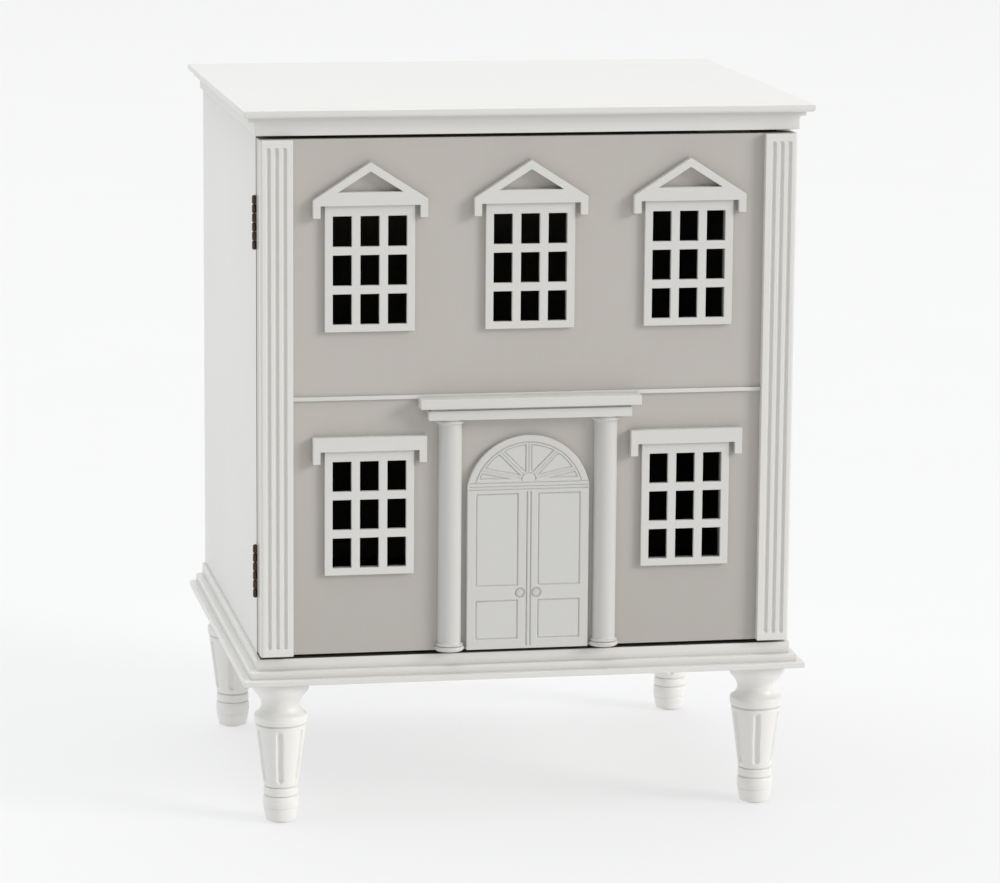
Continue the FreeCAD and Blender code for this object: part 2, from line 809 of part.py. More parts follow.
def makePilaster(label, sign):
    body = newBody(label)
    sketch = newSketch(body, label + "_outline", "XZ_Plane")
    half = z("pilasterWidth") / 2
    rectangle(sketch, -half, 0, 2 * half, doorHeight)
    plank = pad(body, label + "_pad", sketch, z("pilasterThick"))
    soft = roundEdges(
        body, label + "_round", plank, z("pilasterRound"),
        lambda middle, span: near(middle.x, sign * half.value)
        and near(middle.y, -z("pilasterThick").value)
        and span.ZLength > 100)
    lines = newSketch(body, label + "_lines", "XZ_Plane")
    bind(lines, ".AttachmentOffset.Base.z", z("pilasterThick"))
    radius = z("fluteWidth") / 2
    low = z("fluteMargin") + radius
    high = doorHeight - z("fluteMargin") - radius
    for step1 in (-1, 0, 1):
        slot(lines, step1 * z("flutePitch"), low, high, radius)
    pocket(body, label + "_flutes", lines, z("fluteDepth"))
    place(body, sign * (halfCase - half), doorFront, doorBottom)
    return body


makePilaster("pilaster_left", -1)
makePilaster("pilaster_right", 1)
between = z("caseWidth") - 2 * z("pilasterWidth")
course = box("string_course", -between / 2, doorFront - z("courseThick"),
             doorBottom + z("courseLevel"), between, z("courseThick"), z("courseHeight"))

# ---------------------------------------------------------------- windows and hoods

for name, centre, level in windowSpots:
    body = newBody("window_" + name)
    sketch = newSketch(body, "window_%s_grid" % name, "XZ_Plane")
    half = z("windowWidth") / 2
    rectangle(sketch, -half, 0, 2 * half, windowHeight)
    for column in range(3):
        for line in range(3):
            rectangle(sketch,
                      column * (z("paneWidth") + z("muntinWidth")) - paneFieldWidth / 2,
                      z("sillHeight") + line * (paneHeight + z("railHeight")),
                      z("paneWidth"), paneHeight)
    pad(body, "window_%s_pad" % name, sketch, z("windowThick"))
    place(body, centre, doorFront, doorBottom + level)

    hood = newBody("hood_" + name)
    sketch = newSketch(hood, "hood_%s_outline" % name, "XZ_Plane")
    half = z("hoodHalf")
    inner = half - z("earWidth")
    if name.startswith("upper"):
        outline(sketch, [
            (-half, -z("earDrop")),
            (-inner, -z("earDrop")),
            (-inner, 0),
            (inner, 0),
            (inner, -z("earDrop")),
            (half, -z("earDrop")),
            (half, z("eavesHeight")),
            (0, z("eavesHeight") + z("gableRise")),
            (-half, z("eavesHeight")),
        ])
        outline(sketch, [
            (-z("gableHoleHalf"), z("gableHoleBase")),
            (z("gableHoleHalf"), z("gableHoleBase")),
            (0, z("gableHoleBase") + z("gableHoleRise")),
        ])
    else:
        outline(sketch, [
            (-half, -z("earDrop")),
            (-inner, -z("earDrop")),
            (-inner, 0),
            (inner, 0),
            (inner, -z("earDrop")),
            (half, -z("earDrop")),
            (half, z("barHeight")),
            (-half, z("barHeight")),
        ])
    pad(hood, "hood_%s_pad" % name, sketch, z("hoodThick"))
    place(hood, centre, doorFront, doorBottom + level + windowHeight + z("hoodGap"))

# ---------------------------------------------------------------- porch

porchTop = doorBottom + z("porchTop")
upperBlank = box("porch_upper_blank", -z("upperSlabHalf"), doorFront - z("upperSlabReach"),
                 porchTop - z("upperSlabThick"), 2 * z("upperSlabHalf"), z("upperSlabReach"),
                 z("upperSlabThick"))
cut("porch_upper_slab", upperBlank, course)

lower = newBody("porch_lower_slab")
lowerSketch = newSketch(lower, "porch_lower_outline", "XZ_Plane")
rectangle(lowerSketch, -z("lowerSlabHalf"), 0, 2 * z("lowerSlabHalf"),
          z("lowerSlabThick") - z("shadowHeight"))
pad(lower, "porch_lower_pad", lowerSketch, z("lowerSlabReach"))
shadowSketch = newSketch(lower, "porch_shadow_outline", "XZ_Plane")
shadowHalf = z("lowerSlabHalf") - z("shadowDepth")
rectangle(shadowSketch, -shadowHalf, z("lowerSlabThick") - z("shadowHeight"), 2 * shadowHalf,
          z("shadowHeight"))
pad(lower, "porch_shadow_pad", shadowSketch, z("lowerSlabReach") - z("shadowDepth"))
lowerLevel = z("porchTop") - z("upperSlabThick") - z("lowerSlabThick")
place(lower, 0, doorFront, doorBottom + lowerLevel)

for name, sign in (("left", -1), ("right", 1)):
    column = newBody("column_" + name)
    sketch = newSketch(column, "column_%s_profile" % name, "XZ_Plane")
    fat = z("plinthRadius")
    thin = z("columnRadius")
    outline(sketch, [
        (0, 0),
        (fat - z("plinthFootIn"), 0),
        (fat, z("plinthFootRise")),
        (fat, z("plinthHeight") - z("plinthShoulderDrop")),
        (fat - z("plinthShoulderIn"), z("plinthHeight") - z("plinthLip")),
        (thin + z("columnFlare"), z("plinthHeight")),
        (thin, z("plinthHeight") + z("columnFlareHeight")),
        (thin, lowerLevel - z("capitalHeight") - z("columnFlareHeight")),
        (thin + z("columnFlare"), lowerLevel - z("capitalHeight")),
        (z("capitalRadius") - z("capitalFootIn"), lowerLevel - z("capitalHeight")),
        (z("capitalRadius"), lowerLevel - z("capitalHeight") + z("capitalFootRise")),
        (z("capitalRadius"), lowerLevel),
        (0, lowerLevel),
    ])
    turned = column.newObject("PartDesign::Revolution", "column_%s_turned" % name)
    turned.Profile = sketch
    turned.ReferenceAxis = (sketch, ["V_Axis"])
    turned.Angle = 180
    turned.Reversed = True
    place(column, sign * z("columnSpacing") / 2, doorFront, doorBottom)

# ---------------------------------------------------------------- entrance board

archRadius = (z("entranceHalf") * z("entranceHalf") + z("archRise") * z("archRise")) / (
    2 * z("archRise"))
archCentre = doorBottom + z("entranceSpring") + z("archRise") - archRadius
boardFront = doorFront - z("entranceThick")
jambs = box("entrance_jambs", -z("entranceHalf"), boardFront, doorBottom,
            2 * z("entranceHalf"), z("entranceThick"), z("entranceSpring"))
arch = rod("entrance_arch", 0, doorFront, archCentre, archRadius, z("entranceThick"), alongBackY)
archTrim = box("entrance_trim", -z("entranceHalf"), boardFront,
               doorBottom + z("entranceSpring"), 2 * z("entranceHalf"), z("entranceThick"),
               z("archRise") + 1)
boardBlank = join("entrance_blank", [jambs, common("entrance_head", arch, archTrim)])

reliefY = boardFront
deep = z("reliefDepth")
recesses = []
for sign, name in ((-1, "left"), (1, "right")):
    start = z("panelInner") if sign > 0 else -z("panelInner") - z("panelWidth")
    for row1, level, high in (
        ("upper", z("upperPanelLevel"), z("upperPanelHeight")),
        ("lower", z("lowerPanelLevel"), z("lowerPanelHeight")),
    ):
        recesses.append(box("recess_%s_%s" % (row1, name), start, reliefY, doorBottom + level,
                            z("panelWidth"), deep, high))
recesses.append(box("recess_seam", -z("seamWidth") / 2, reliefY, doorBottom,
                    z("seamWidth"), deep, z("seamHeight")))
fanCentre = doorBottom + z("fanLevel")
fanDisc = rod("fan_disc", 0, boardFront + deep, fanCentre - z("fanCentreDrop") / 4,
              z("fanRadius"), deep, alongBackY)
fanField = box("fan_field", -z("fanRadius"), boardFront, fanCentre + z("spokeWidth") / 2,
               2 * z("fanRadius"), deep, z("fanRadius"))
hub = rod("fan_hub", 0, boardFront + deep, fanCentre, z("hubRadius"), deep, alongBackY)
spokes = [hub]
spokeAngles = (-78, -45, 0, 45, 78)
for angle in spokeAngles:
    spoke = doc.addObject("Part::Box", "fan_spoke")
    bind(spoke, "Length", z("spokeWidth"))
    bind(spoke, "Width", deep)
    bind(spoke, "Height", z("fanRadius"))
    turn = Rotation(Vector(0, 1, 0), angle)
    shift = turn.multVec(Vector(-z("spokeWidth").value / 2, 0, 0))
    spoke.Placement = Placement(Vector(0, 0, 0), turn)
    place(spoke, shift.x, boardFront, fanCentre + shift.z)
    spokes.append(spoke)
fan = cut("fan_recess", common("fan_area", fanDisc, fanField), join("fan_bars", spokes))
recesses.append(fan)
knobs = [
    rod("knob_%d" % (sign + 2), sign * z("knobSpacing") / 2, boardFront,
        doorBottom + z("knobLevel"), z("knobRadius"), z("knobThick"), alongBackY)
    for sign in (-1, 1)]
carved = cut("entrance_carved", boardBlank, join("entrance_recesses", recesses))
join("entrance_board", [carved] + knobs)

# ---------------------------------------------------------------- write the pieces

nodeNames = [
    "top_slab", "cornice_board", "frieze_board", "left_side", "right_side", "back_panel",
    "middle_floor", "base_step_board", "base_tier_board", "base_nose_board", "dowels",
    "leg_front_left", "leg_front_right", "leg_back_left", "leg_back_right",
    "leg_screws", "foot_glides",
    "hinge_upper_side_leaf", "hinge_lower_side_leaf", "hinge_upper_pin", "hinge_lower_pin",
    "hinge_side_screws", "catch_housing", "catch_magnet", "catch_screws",
    "door_panel", "pilaster_left", "pilaster_right", "string_course",
    "window_upper_left", "window_upper_centre", "window_upper_right",
    "window_lower_left", "window_lower_right",
    "hood_upper_left", "hood_upper_centre", "hood_upper_right",
    "hood_lower_left", "hood_lower_right",
    "column_left", "column_right", "porch_upper_slab", "porch_lower_slab", "entrance_board",
    "hinge_upper_door_leaf", "hinge_lower_door_leaf", "hinge_door_screws",
    "catch_strike", "strike_screws", "door_bumpers",
]

doc.recompute()
faults = []
for obj in doc.Objects:
    if "Invalid" in obj.State or "Error" in obj.State:
        faults.append("%s is %s" % (obj.Name, obj.State))
nodes = {obj.Label: obj for obj in doc.Objects}
for name in nodeNames:
    shape = nodes[name].Shape
    if shape.isNull() or not shape.isValid() or not shape.Solids:
        faults.append("%s has no sound solid" % name)
if faults:
    raise RuntimeError("; ".join(faults))

os.makedirs("parts", exist_ok=True)
for name in nodeNames:
    nodes[name].Shape.exportStep("parts/%s.step" % name)
    print(name, len(nodes[name].Shape.Solids), round(nodes[name].Shape.Volume, 1))
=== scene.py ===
import json
import math

import bpy
import numpy as np
from mathutils import Matrix, Vector
from mathutils.geometry import tessellate_polygon


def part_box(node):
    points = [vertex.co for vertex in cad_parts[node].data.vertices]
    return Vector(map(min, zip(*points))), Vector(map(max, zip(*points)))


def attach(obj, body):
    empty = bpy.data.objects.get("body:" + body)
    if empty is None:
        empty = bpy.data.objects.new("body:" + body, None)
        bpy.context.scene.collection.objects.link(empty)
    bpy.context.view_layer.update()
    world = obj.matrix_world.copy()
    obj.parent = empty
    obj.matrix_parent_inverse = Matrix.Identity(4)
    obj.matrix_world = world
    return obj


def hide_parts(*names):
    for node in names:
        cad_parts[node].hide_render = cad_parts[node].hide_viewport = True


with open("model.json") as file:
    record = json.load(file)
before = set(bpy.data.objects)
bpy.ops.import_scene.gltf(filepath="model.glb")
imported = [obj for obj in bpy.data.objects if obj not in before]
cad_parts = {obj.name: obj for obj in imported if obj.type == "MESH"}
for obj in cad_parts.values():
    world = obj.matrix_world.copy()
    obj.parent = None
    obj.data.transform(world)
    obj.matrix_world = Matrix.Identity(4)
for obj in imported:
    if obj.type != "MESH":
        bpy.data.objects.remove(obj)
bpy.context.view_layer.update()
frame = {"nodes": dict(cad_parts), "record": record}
nodes = frame["nodes"]
mm = 0.001


# where the main planes lie, read from the frame
def span(node):
    low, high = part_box(node)
    return np.array(low), np.array(high)


sideLow, sideHigh = span("left_side")
doorLow, doorHigh = span("door_panel")
sideFrontY = sideLow[1]
caseHalf = -sideLow[0]
roomHalf = -sideHigh[0]
roomLow, roomHigh = sideLow[2], sideHigh[2]
roomBackY = span("back_panel")[0][1]
doorFrontY = doorLow[1]


# One output socket of a material's node tree, with arithmetic.
class Sock:
    def __init__(self, tree, socket):
        self.tree = tree
        self.socket = socket

    def node(self, kind, settings=None, **inputs):
        made = self.tree.nodes.new(kind)
        for name, value in (settings or {}).items():
            if name == "stops":
                ramp = made.color_ramp
                while len(ramp.elements) < len(value):
                    ramp.elements.new(0.5)
                for element, (place, colour) in zip(ramp.elements, value):
                    element.position = place
                    element.color = colour
            else:
                setattr(made, name, value)
        for name, value in inputs.items():
            key = int(name[1:]) if name[0] == "i" and name[1:].isdigit() else name.replace("_", " ")
            target = made.inputs[key]
            if isinstance(value, Sock):
                self.tree.links.new(value.socket, target)
            else:
                target.default_value = value
        return made

    def out(self, kind, settings=None, output=0, **inputs):
        return Sock(self.tree, self.node(kind, settings, **inputs).outputs[output])

    def math(self, operation, first, second=0.0):
        return self.out("ShaderNodeMath", {"operation": operation}, i0=first, i1=second)

    def __add__(self, other):
        return self.math("ADD", self, other)

    def __radd__(self, other):
        return self.math("ADD", other, self)

    def __sub__(self, other):
        return self.math("SUBTRACT", self, other)

    def __rsub__(self, other):
        return self.math("SUBTRACT", other, self)

    def __mul__(self, other):
        return self.math("MULTIPLY", self, other)

    def __rmul__(self, other):
        return self.math("MULTIPLY", other, self)

    def __truediv__(self, other):
        return self.math("DIVIDE", self, other)

    def __gt__(self, other):
        return self.math("GREATER_THAN", self, other)

    def __lt__(self, other):
        return self.math("LESS_THAN", self, other)


def newMaterial(name):
    material = bpy.data.materials.new(name)
    material.use_nodes = True
    tree = material.node_tree
    tree.nodes.clear()
    shader = tree.nodes.new("ShaderNodeBsdfPrincipled")
    output = tree.nodes.new("ShaderNodeOutputMaterial")
    tree.links.new(shader.outputs[0], output.inputs["Surface"])
    start = Sock(tree, tree.nodes.new("ShaderNodeTexCoord").outputs["Object"])
    return material, shader, start


def noise(place, scale, detail=3.0, rough=0.5, stretch=(1, 1, 1)):
    moved = place.out("ShaderNodeMapping", None, 0, Vector=place, Scale=stretch)
    return place.out("ShaderNodeTexNoise", None, 0, Vector=moved, Scale=scale, Detail=detail,
                     Roughness=rough)


def blendColour(mask, first, second):
    mix = mask.tree.nodes.new("ShaderNodeMix")
    mix.data_type = "RGBA"
    for index, value in ((0, mask), (6, first), (7, second)):
        if isinstance(value, Sock):
            mask.tree.links.new(value.socket, mix.inputs[index])
        else:
            mix.inputs[index].default_value = value
    return Sock(mask.tree, mix.outputs[2])


def feed(shader, name, value):
    tree = value.tree
    tree.links.new(value.socket, shader.inputs[name])


def bump(height, strength, distance):
    return height.out("ShaderNodeBump", None, 0, Height=height, Strength=strength,
                      Distance=distance)


paint = {
    "white": (0.755, 0.750, 0.728, 1),
    "whiteShade": (0.725, 0.715, 0.690, 1),
    "grey": (0.525, 0.498, 0.465, 1),
    "greyShade": (0.495, 0.468, 0.435, 1),
    # painted light and shade: leg is the white paint made lighter, and column, trim and entrance the
    # white paint made darker, for how light falls on those parts
    "leg": (0.840, 0.832, 0.808, 1),
    "legShade": (0.805, 0.795, 0.770, 1),
    "column": (0.625, 0.620, 0.602, 1),
    "columnShade": (0.600, 0.594, 0.574, 1),
    "trim": (0.690, 0.686, 0.664, 1),
    "trimShade": (0.665, 0.658, 0.634, 1),
    "entrance": (0.640, 0.638, 0.620, 1),
    "entranceShade": (0.615, 0.610, 0.590, 1),
    "charcoal": (0.165, 0.152, 0.134, 1),
    # painted shade: the dark tone, and how much of it goes into creases and towards the base
    "paintedShade": (0.10, 0.09, 0.075, 1),
    "creaseShade": 0.16,
    "lowShade": 0.13,
    "roughness": 0.36,
}


# Sprayed satin paint over wood: cloudy colour, the lay of the grain and a fine peel, with painted
# shade darkening creases and recesses through ambient occlusion. dark is the box, as half width,
# front and back, that the charcoal inside paint covers; edge adds the strip left of one X and in
# front of one Y, a painted shadow; low is the height below which the colour darkens, painted shade,
# down to the base.
def paintedWood(name, light, shade, lay=(0.25, 1.0, 1.0), seed=0.0, dark=None, edge=None,
                low=None):
    material, shader, place = newMaterial(name)
    shifted = place.out("ShaderNodeMapping", None, 0, Vector=place, Location=(seed, seed, seed))
    cloud = noise(shifted, 9.0, 4.0, 0.55)
    grain = noise(shifted, 140.0, 3.0, 0.6, lay)
    peel = noise(shifted, 900.0, 2.0, 0.4)
    colour = blendColour(cloud * 0.45 + grain * 0.55, light, shade)
    # painted shade: the colour darkens towards a near-black tone in creases and recesses, from ambient
    # occlusion
    crevice = place.out("ShaderNodeAmbientOcclusion", {"samples": 6}, 1, Distance=0.006)
    creaseShade = (1.0 - crevice) * paint["creaseShade"]
    colour = blendColour(creaseShade, colour, paint["paintedShade"])
    parts = place.node("ShaderNodeSeparateXYZ", None, Vector=place)
    x, y, z = (Sock(place.tree, parts.outputs[index]) for index in range(3))
    # painted shade: the colour darkens from the height low down to the base
    if low:
        depth = (float(low) - z) / float(low - roomLow)
        lowShade = depth.math("MAXIMUM", depth, 0.0)
        colour = blendColour(lowShade * paint["lowShade"], colour, paint["paintedShade"])
    if dark:
        wide = x.math("ABSOLUTE", x) < float(dark[0])
        deep = (y > float(dark[1])) * (y < float(dark[2]))
        tall = (z > float(roomLow - 0.0003)) * (z < float(roomHigh + 0.0003))
        mask = wide * deep * tall
        # painted shadow: the edge strip is charcoal where the gap beside the door lies in shade
        if edge:
            mask = mask.math("MAXIMUM", mask, (x < float(edge[0])) * (y < float(edge[1])))
        colour = blendColour(mask, colour, paint["charcoal"])
    feed(shader, "Base Color", colour)
    feed(shader, "Roughness", cloud * 0.10 + (paint["roughness"] - 0.05))
    feed(shader, "Normal", bump(peel * 0.4 + grain * 0.6, 0.14, 0.0002))
    shader.inputs["Specular IOR Level"].default_value = 0.45
    return material


def charcoalPaint():
    material, shader, place = newMaterial("charcoalPaint")
    cloud = noise(place, 14.0)
    feed(shader, "Base Color", blendColour(cloud, (0.155, 0.143, 0.126, 1), (0.178, 0.164, 0.144, 1)))
    feed(shader, "Roughness", cloud * 0.1 + 0.75)
    feed(shader, "Normal", bump(noise(place, 700.0), 0.1, 0.0002))
    return material


def metal(name, dark, light, roughness, brushed=0.0):
    material, shader, place = newMaterial(name)
    cloud = noise(place, 120.0, 4.0, 0.6)
    lines = noise(place, 500.0, 2.0, 0.5, (1.0, 1.0, 0.06))
    # painted shade: the colour darkens nearly to black in crevices, from ambient occlusion
    crevice = place.out("ShaderNodeAmbientOcclusion", {"samples": 6}, 1, Distance=0.0016)
    worn = blendColour(cloud, dark, light)
    feed(shader, "Base Color", blendColour((1.0 - crevice) * 0.9, worn, (0.004, 0.003, 0.002, 1)))
    feed(shader, "Roughness", cloud * 0.18 + lines * brushed + (roughness - 0.09))
    feed(shader, "Normal", bump(lines, 0.15, 0.0001))
    shader.inputs["Metallic"].default_value = 1.0
    return material


def plastic(name, dark, light, roughness):
    material, shader, place = newMaterial(name)
    cloud = noise(place, 60.0)
    feed(shader, "Base Color", blendColour(cloud, dark, light))
    feed(shader, "Roughness", cloud * 0.1 + (roughness - 0.05))
    feed(shader, "Normal", bump(noise(place, 1500.0), 0.12, 0.0001))
    return material


def beechWood():
    material, shader, place = newMaterial("beechWood")
    rings = noise(place, 40.0, 4.0, 0.6, (1.0, 1.0, 0.15))
    flecks = noise(place, 900.0, 1.0, 0.5, (1.0, 1.0, 0.12))
    colour = blendColour(rings * 0.8 + flecks * 0.2, (0.56, 0.34, 0.17, 1), (0.40, 0.22, 0.10, 1))
    feed(shader, "Base Color", colour)
    feed(shader, "Roughness", rings * 0.2 + 0.5)
    feed(shader, "Normal", bump(flecks, 0.2, 0.0002))
    return material


upright, along = (1.0, 1.0, 0.10), (0.10, 1.0, 1.0)
whitePaint = paintedWood("whitePaint", paint["white"], paint["whiteShade"], upright)
boardPaint = paintedWood("boardPaint", paint["white"], paint["whiteShade"], along, 0.5)
# painted shadow: the front edge of the left side is charcoal along the hinge gap
sidePaint = paintedWood("sidePaint", paint["white"], paint["whiteShade"], upright, 0.7,
                        (roomHalf + 0.0003, sideFrontY + 0.0004, roomBackY + 0.002),
                        (-roomHalf, sideFrontY + 0.0003))
backPaint = paintedWood("backPaint", paint["white"], paint["whiteShade"], upright, 0.8,
                        (roomHalf + 0.0003, sideFrontY, roomBackY + 0.002))
# painted shadow: the dark box reaches forward to the door's front, so the gaps over and under the door
# are charcoal
ledgePaint = paintedWood("ledgePaint", paint["white"], paint["whiteShade"], along, 0.9,
                         (caseHalf - 0.0008, doorFrontY + 0.0012, roomBackY + 0.002))
# painted shade: the facade darkens towards the base
facadePaint = paintedWood("facadePaint", paint["grey"], paint["greyShade"], upright, 0.3,
                          low=(roomLow + roomHigh) / 2)
# painted light on the legs and painted shade on the columns, trim and entrance: lighter and darker
# copies of the white paint
legLitPaint = paintedWood("legLitPaint", paint["leg"], paint["legShade"], upright, 0.4)
columnShadedPaint = paintedWood("columnShadedPaint", paint["column"], paint["columnShade"], upright, 0.6)
trimShadedPaint = paintedWood("trimShadedPaint", paint["trim"], paint["trimShade"], upright, 0.2)
entranceShadedPaint = paintedWood("entranceShadedPaint", paint["entrance"], paint["entranceShade"], upright, 1.1)
slotMaterials = {
    "white_paint": whitePaint,
    "facade_grey_paint": facadePaint,
    "charcoal_paint": charcoalPaint(),
    "beech": beechWood(),
    "bronzed_steel": metal("bronzedSteel", (0.045, 0.034, 0.024, 1), (0.105, 0.082, 0.060, 1), 0.42),
    "zinc_steel": metal("zincSteel", (0.50, 0.51, 0.53, 1), (0.66, 0.67, 0.69, 1), 0.32, 0.1),
    "white_plastic": plastic("whitePlastic", (0.62, 0.62, 0.60, 1), (0.70, 0.70, 0.68, 1), 0.45),
    "magnet_ferrite": plastic("magnetFerrite", (0.02, 0.02, 0.022, 1), (0.04, 0.04, 0.042, 1), 0.5),
    "nylon": plastic("nylon", (0.66, 0.64, 0.58, 1), (0.74, 0.72, 0.66, 1), 0.5),
    "bumper_rubber": plastic("bumperRubber", (0.55, 0.55, 0.54, 1), (0.62, 0.62, 0.60, 1), 0.35),
}
for part in frame["record"]["subparts"]:
    slots = nodes[part["node"]].data.materials
    slots.clear()
    slots.append(slotMaterials[part["material_slot"]])
nodes["back_panel"].data.materials[0] = backPaint
print("materials ready")


# Makes the mesh, gives it its finish, and stands it in for the CAD node.
def buildPiece(name, points, faces, body, node, material=None, smooth=35.0, bevel=0.0, slot=None):
    mesh = bpy.data.meshes.new(name)
    mesh.from_pydata(np.asarray(points, float).tolist(), [], faces)
    mesh.validate()
    mesh.update()
    mesh.shade_smooth()
    mesh.set_sharp_from_angle(angle=math.radians(smooth))
    piece = bpy.data.objects.new(name, mesh)
    bpy.context.scene.collection.objects.link(piece)
    slotName = slot or next(
        part["material_slot"] for part in frame["record"]["subparts"] if part["node"] == node)
    mesh.materials.append(material or slotMaterials[slotName])
    if bevel:
        rounding = piece.modifiers.new("soft edge", "BEVEL")
        rounding.width = bevel
        rounding.segments = 3
        rounding.limit_method = "ANGLE"
        rounding.angle_limit = math.radians(40)
        rounding.harden_normals = False
    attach(piece, body)
    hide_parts(node)
    return piece


# Quads between neighbouring rings of a grid of points.
def gridFaces(rings, around, closed):
    ring = np.arange(rings - 1)[:, None] * around
    step = np.arange(around if closed else around - 1)[None, :]
    following = (step + 1) % around
    quads = np.stack([ring + step, ring + following, ring + around + following,
                      ring + around + step], -1)
    return quads.reshape(-1, 4).tolist()


# A closed solid from rings of equal length: quads between, one face at each end.
def capped(rings, flip=False):
    count, around = rings.shape[:2]
    faces = gridFaces(count, around, True)
    faces.append(list(range(around))[::-1])
    faces.append(list(range((count - 1) * around, count * around)))
    if flip:
        faces = [face[::-1] for face in faces]
    return rings.reshape(-1, 3), faces


# Corners of a rectangle turned on quarter circles: centre plus radius at each angle.
def roundedOutline(low, high, radius, steps=6):
    turns = np.linspace(0, math.pi / 2, steps)
    centres = [(high[0] - radius, high[1] - radius), (low[0] + radius, high[1] - radius),
               (low[0] + radius, low[1] + radius), (high[0] - radius, low[1] + radius)]
    points = [
        np.stack([cx + radius * np.cos(turns + k * math.pi / 2),
                  cy + radius * np.sin(turns + k * math.pi / 2)], -1)
        for k, (cx, cy) in enumerate(centres)]
    return np.concatenate(points)


# A profile carried round the board's rectangle: each step is (inset, level). The back edge stays in
# one plane and is only softened, and so does a flush front.
def mouldedBoard(name, node, body, profile, corner, material=boardPaint, sidesOnly=False):
    low, high = span(node)
    rings = []
    for inset, level in profile:
        soft = min(inset, 0.0006)
        front = 0 if sidesOnly else inset
        outline = roundedOutline((low[0] + inset, low[1] + front), (high[0] - inset, high[1] - soft),
                                 corner)
        rings.append(np.column_stack([outline, np.full(len(outline), level)]))
    points, faces = capped(np.array(rings))
    return buildPiece(name, points, faces, body, node, material)


# Points on a quarter of an ellipse from A to B; hollow bends inwards.
def quarter(insetA, levelA, insetB, levelB, hollow=False, steps=7):
    turn = np.linspace(0, math.pi / 2, steps)
    across, up = (1 - np.cos(turn), np.sin(turn)) if hollow else (np.sin(turn), 1 - np.cos(turn))
    return list(zip(insetA + (insetB - insetA) * across, levelA + (levelB - levelA) * up))


def levelsOf(node):
    low, high = span(node)
    return low[2], high[2]


boardPlan = {
    "softEdge": 0.5 * mm,
    "hairEdge": 0.05 * mm,
    "corner": 1.2 * mm,
    "slabRound": 3.6 * mm,
    "neckInset": 6.8 * mm,
    "neckRise": 2.6 * mm,
    "cove": 2.4 * mm,
    "lipRound": 1.3 * mm,
    "lipCorner": 0.5 * mm,
    "stepRound": 0.6 * mm,
    "plainCorner": 0.8 * mm,
    "tierRound": 1.6 * mm,
    "noseUnder": 0.8 * mm,
    "noseRound": 1.4 * mm,
}
softEdge, hairEdge, corner = (boardPlan[key] for key in ("softEdge", "hairEdge", "corner"))

# the cornice, from the top down: rounded slab, coved lip, plain frieze
bottom, top = levelsOf("top_slab")
mouldedBoard("topSlab", "top_slab", "cabinet",
             quarter(boardPlan["slabRound"], bottom, 0, bottom + boardPlan["slabRound"])
             + quarter(0, top - softEdge, softEdge, top, hollow=True), corner)
bottom, top = levelsOf("cornice_board")
lip = bottom + boardPlan["neckRise"]
mouldedBoard("corniceBoard", "cornice_board", "cabinet",
             quarter(boardPlan["neckInset"], bottom, boardPlan["neckInset"] - boardPlan["cove"], lip,
                     hollow=True)
             + quarter(boardPlan["lipRound"], lip, 0, lip + boardPlan["lipRound"])
             + [(0, top - softEdge), (softEdge, top)], boardPlan["lipCorner"], ledgePaint,
             sidesOnly=True)
for boardName, node, lower, upper in (
    ("friezeBoard", "frieze_board", softEdge, hairEdge),
    ("baseStepBoard", "base_step_board", hairEdge, boardPlan["stepRound"]),
):
    bottom, top = levelsOf(node)
    mouldedBoard(boardName, node, "cabinet",
                 quarter(lower, bottom, 0, bottom + lower)
                 + quarter(0, top - upper, upper, top, hollow=True), boardPlan["plainCorner"],
                 ledgePaint)

# the two rounded boards under the step
for boardName, node, lower, upper in (
    ("baseTierBoard", "base_tier_board", hairEdge, boardPlan["tierRound"]),
    ("baseNoseBoard", "base_nose_board", boardPlan["noseUnder"], boardPlan["noseRound"]),
):
    bottom, top = levelsOf(node)
    mouldedBoard(boardName, node, "cabinet",
                 quarter(lower, bottom, 0, bottom + lower)
                 + quarter(0, top - upper, upper, top, hollow=True), corner)


# A box with every edge turned over on a small quarter circle.
def plainBoard(name, node, body, material=None, edge=0.6 * mm, corner=0.6 * mm):
    low, high = span(node)
    turn = np.linspace(0, math.pi / 2, 4)
    profile = [(edge * (1 - math.sin(t)), low[2] + edge * (1 - math.cos(t))) for t in turn]
    profile += [(edge * (1 - math.cos(t)), high[2] - edge * (1 - math.sin(t))) for t in turn]
    rings = []
    for inset, level in profile:
        outline = roundedOutline(low[:2] + inset, high[:2] - inset, corner)
        rings.append(np.column_stack([outline, np.full(len(outline), level)]))
    points, faces = capped(np.array(rings))
    return buildPiece(name, points, faces, body, node, material)


plainBoard("leftSide", "left_side", "cabinet", sidePaint)
plainBoard("rightSide", "right_side", "cabinet", sidePaint)
plainBoard("stringCourse", "string_course", "door", trimShadedPaint, 0.5 * mm, 0.5 * mm)
print("boards ready")


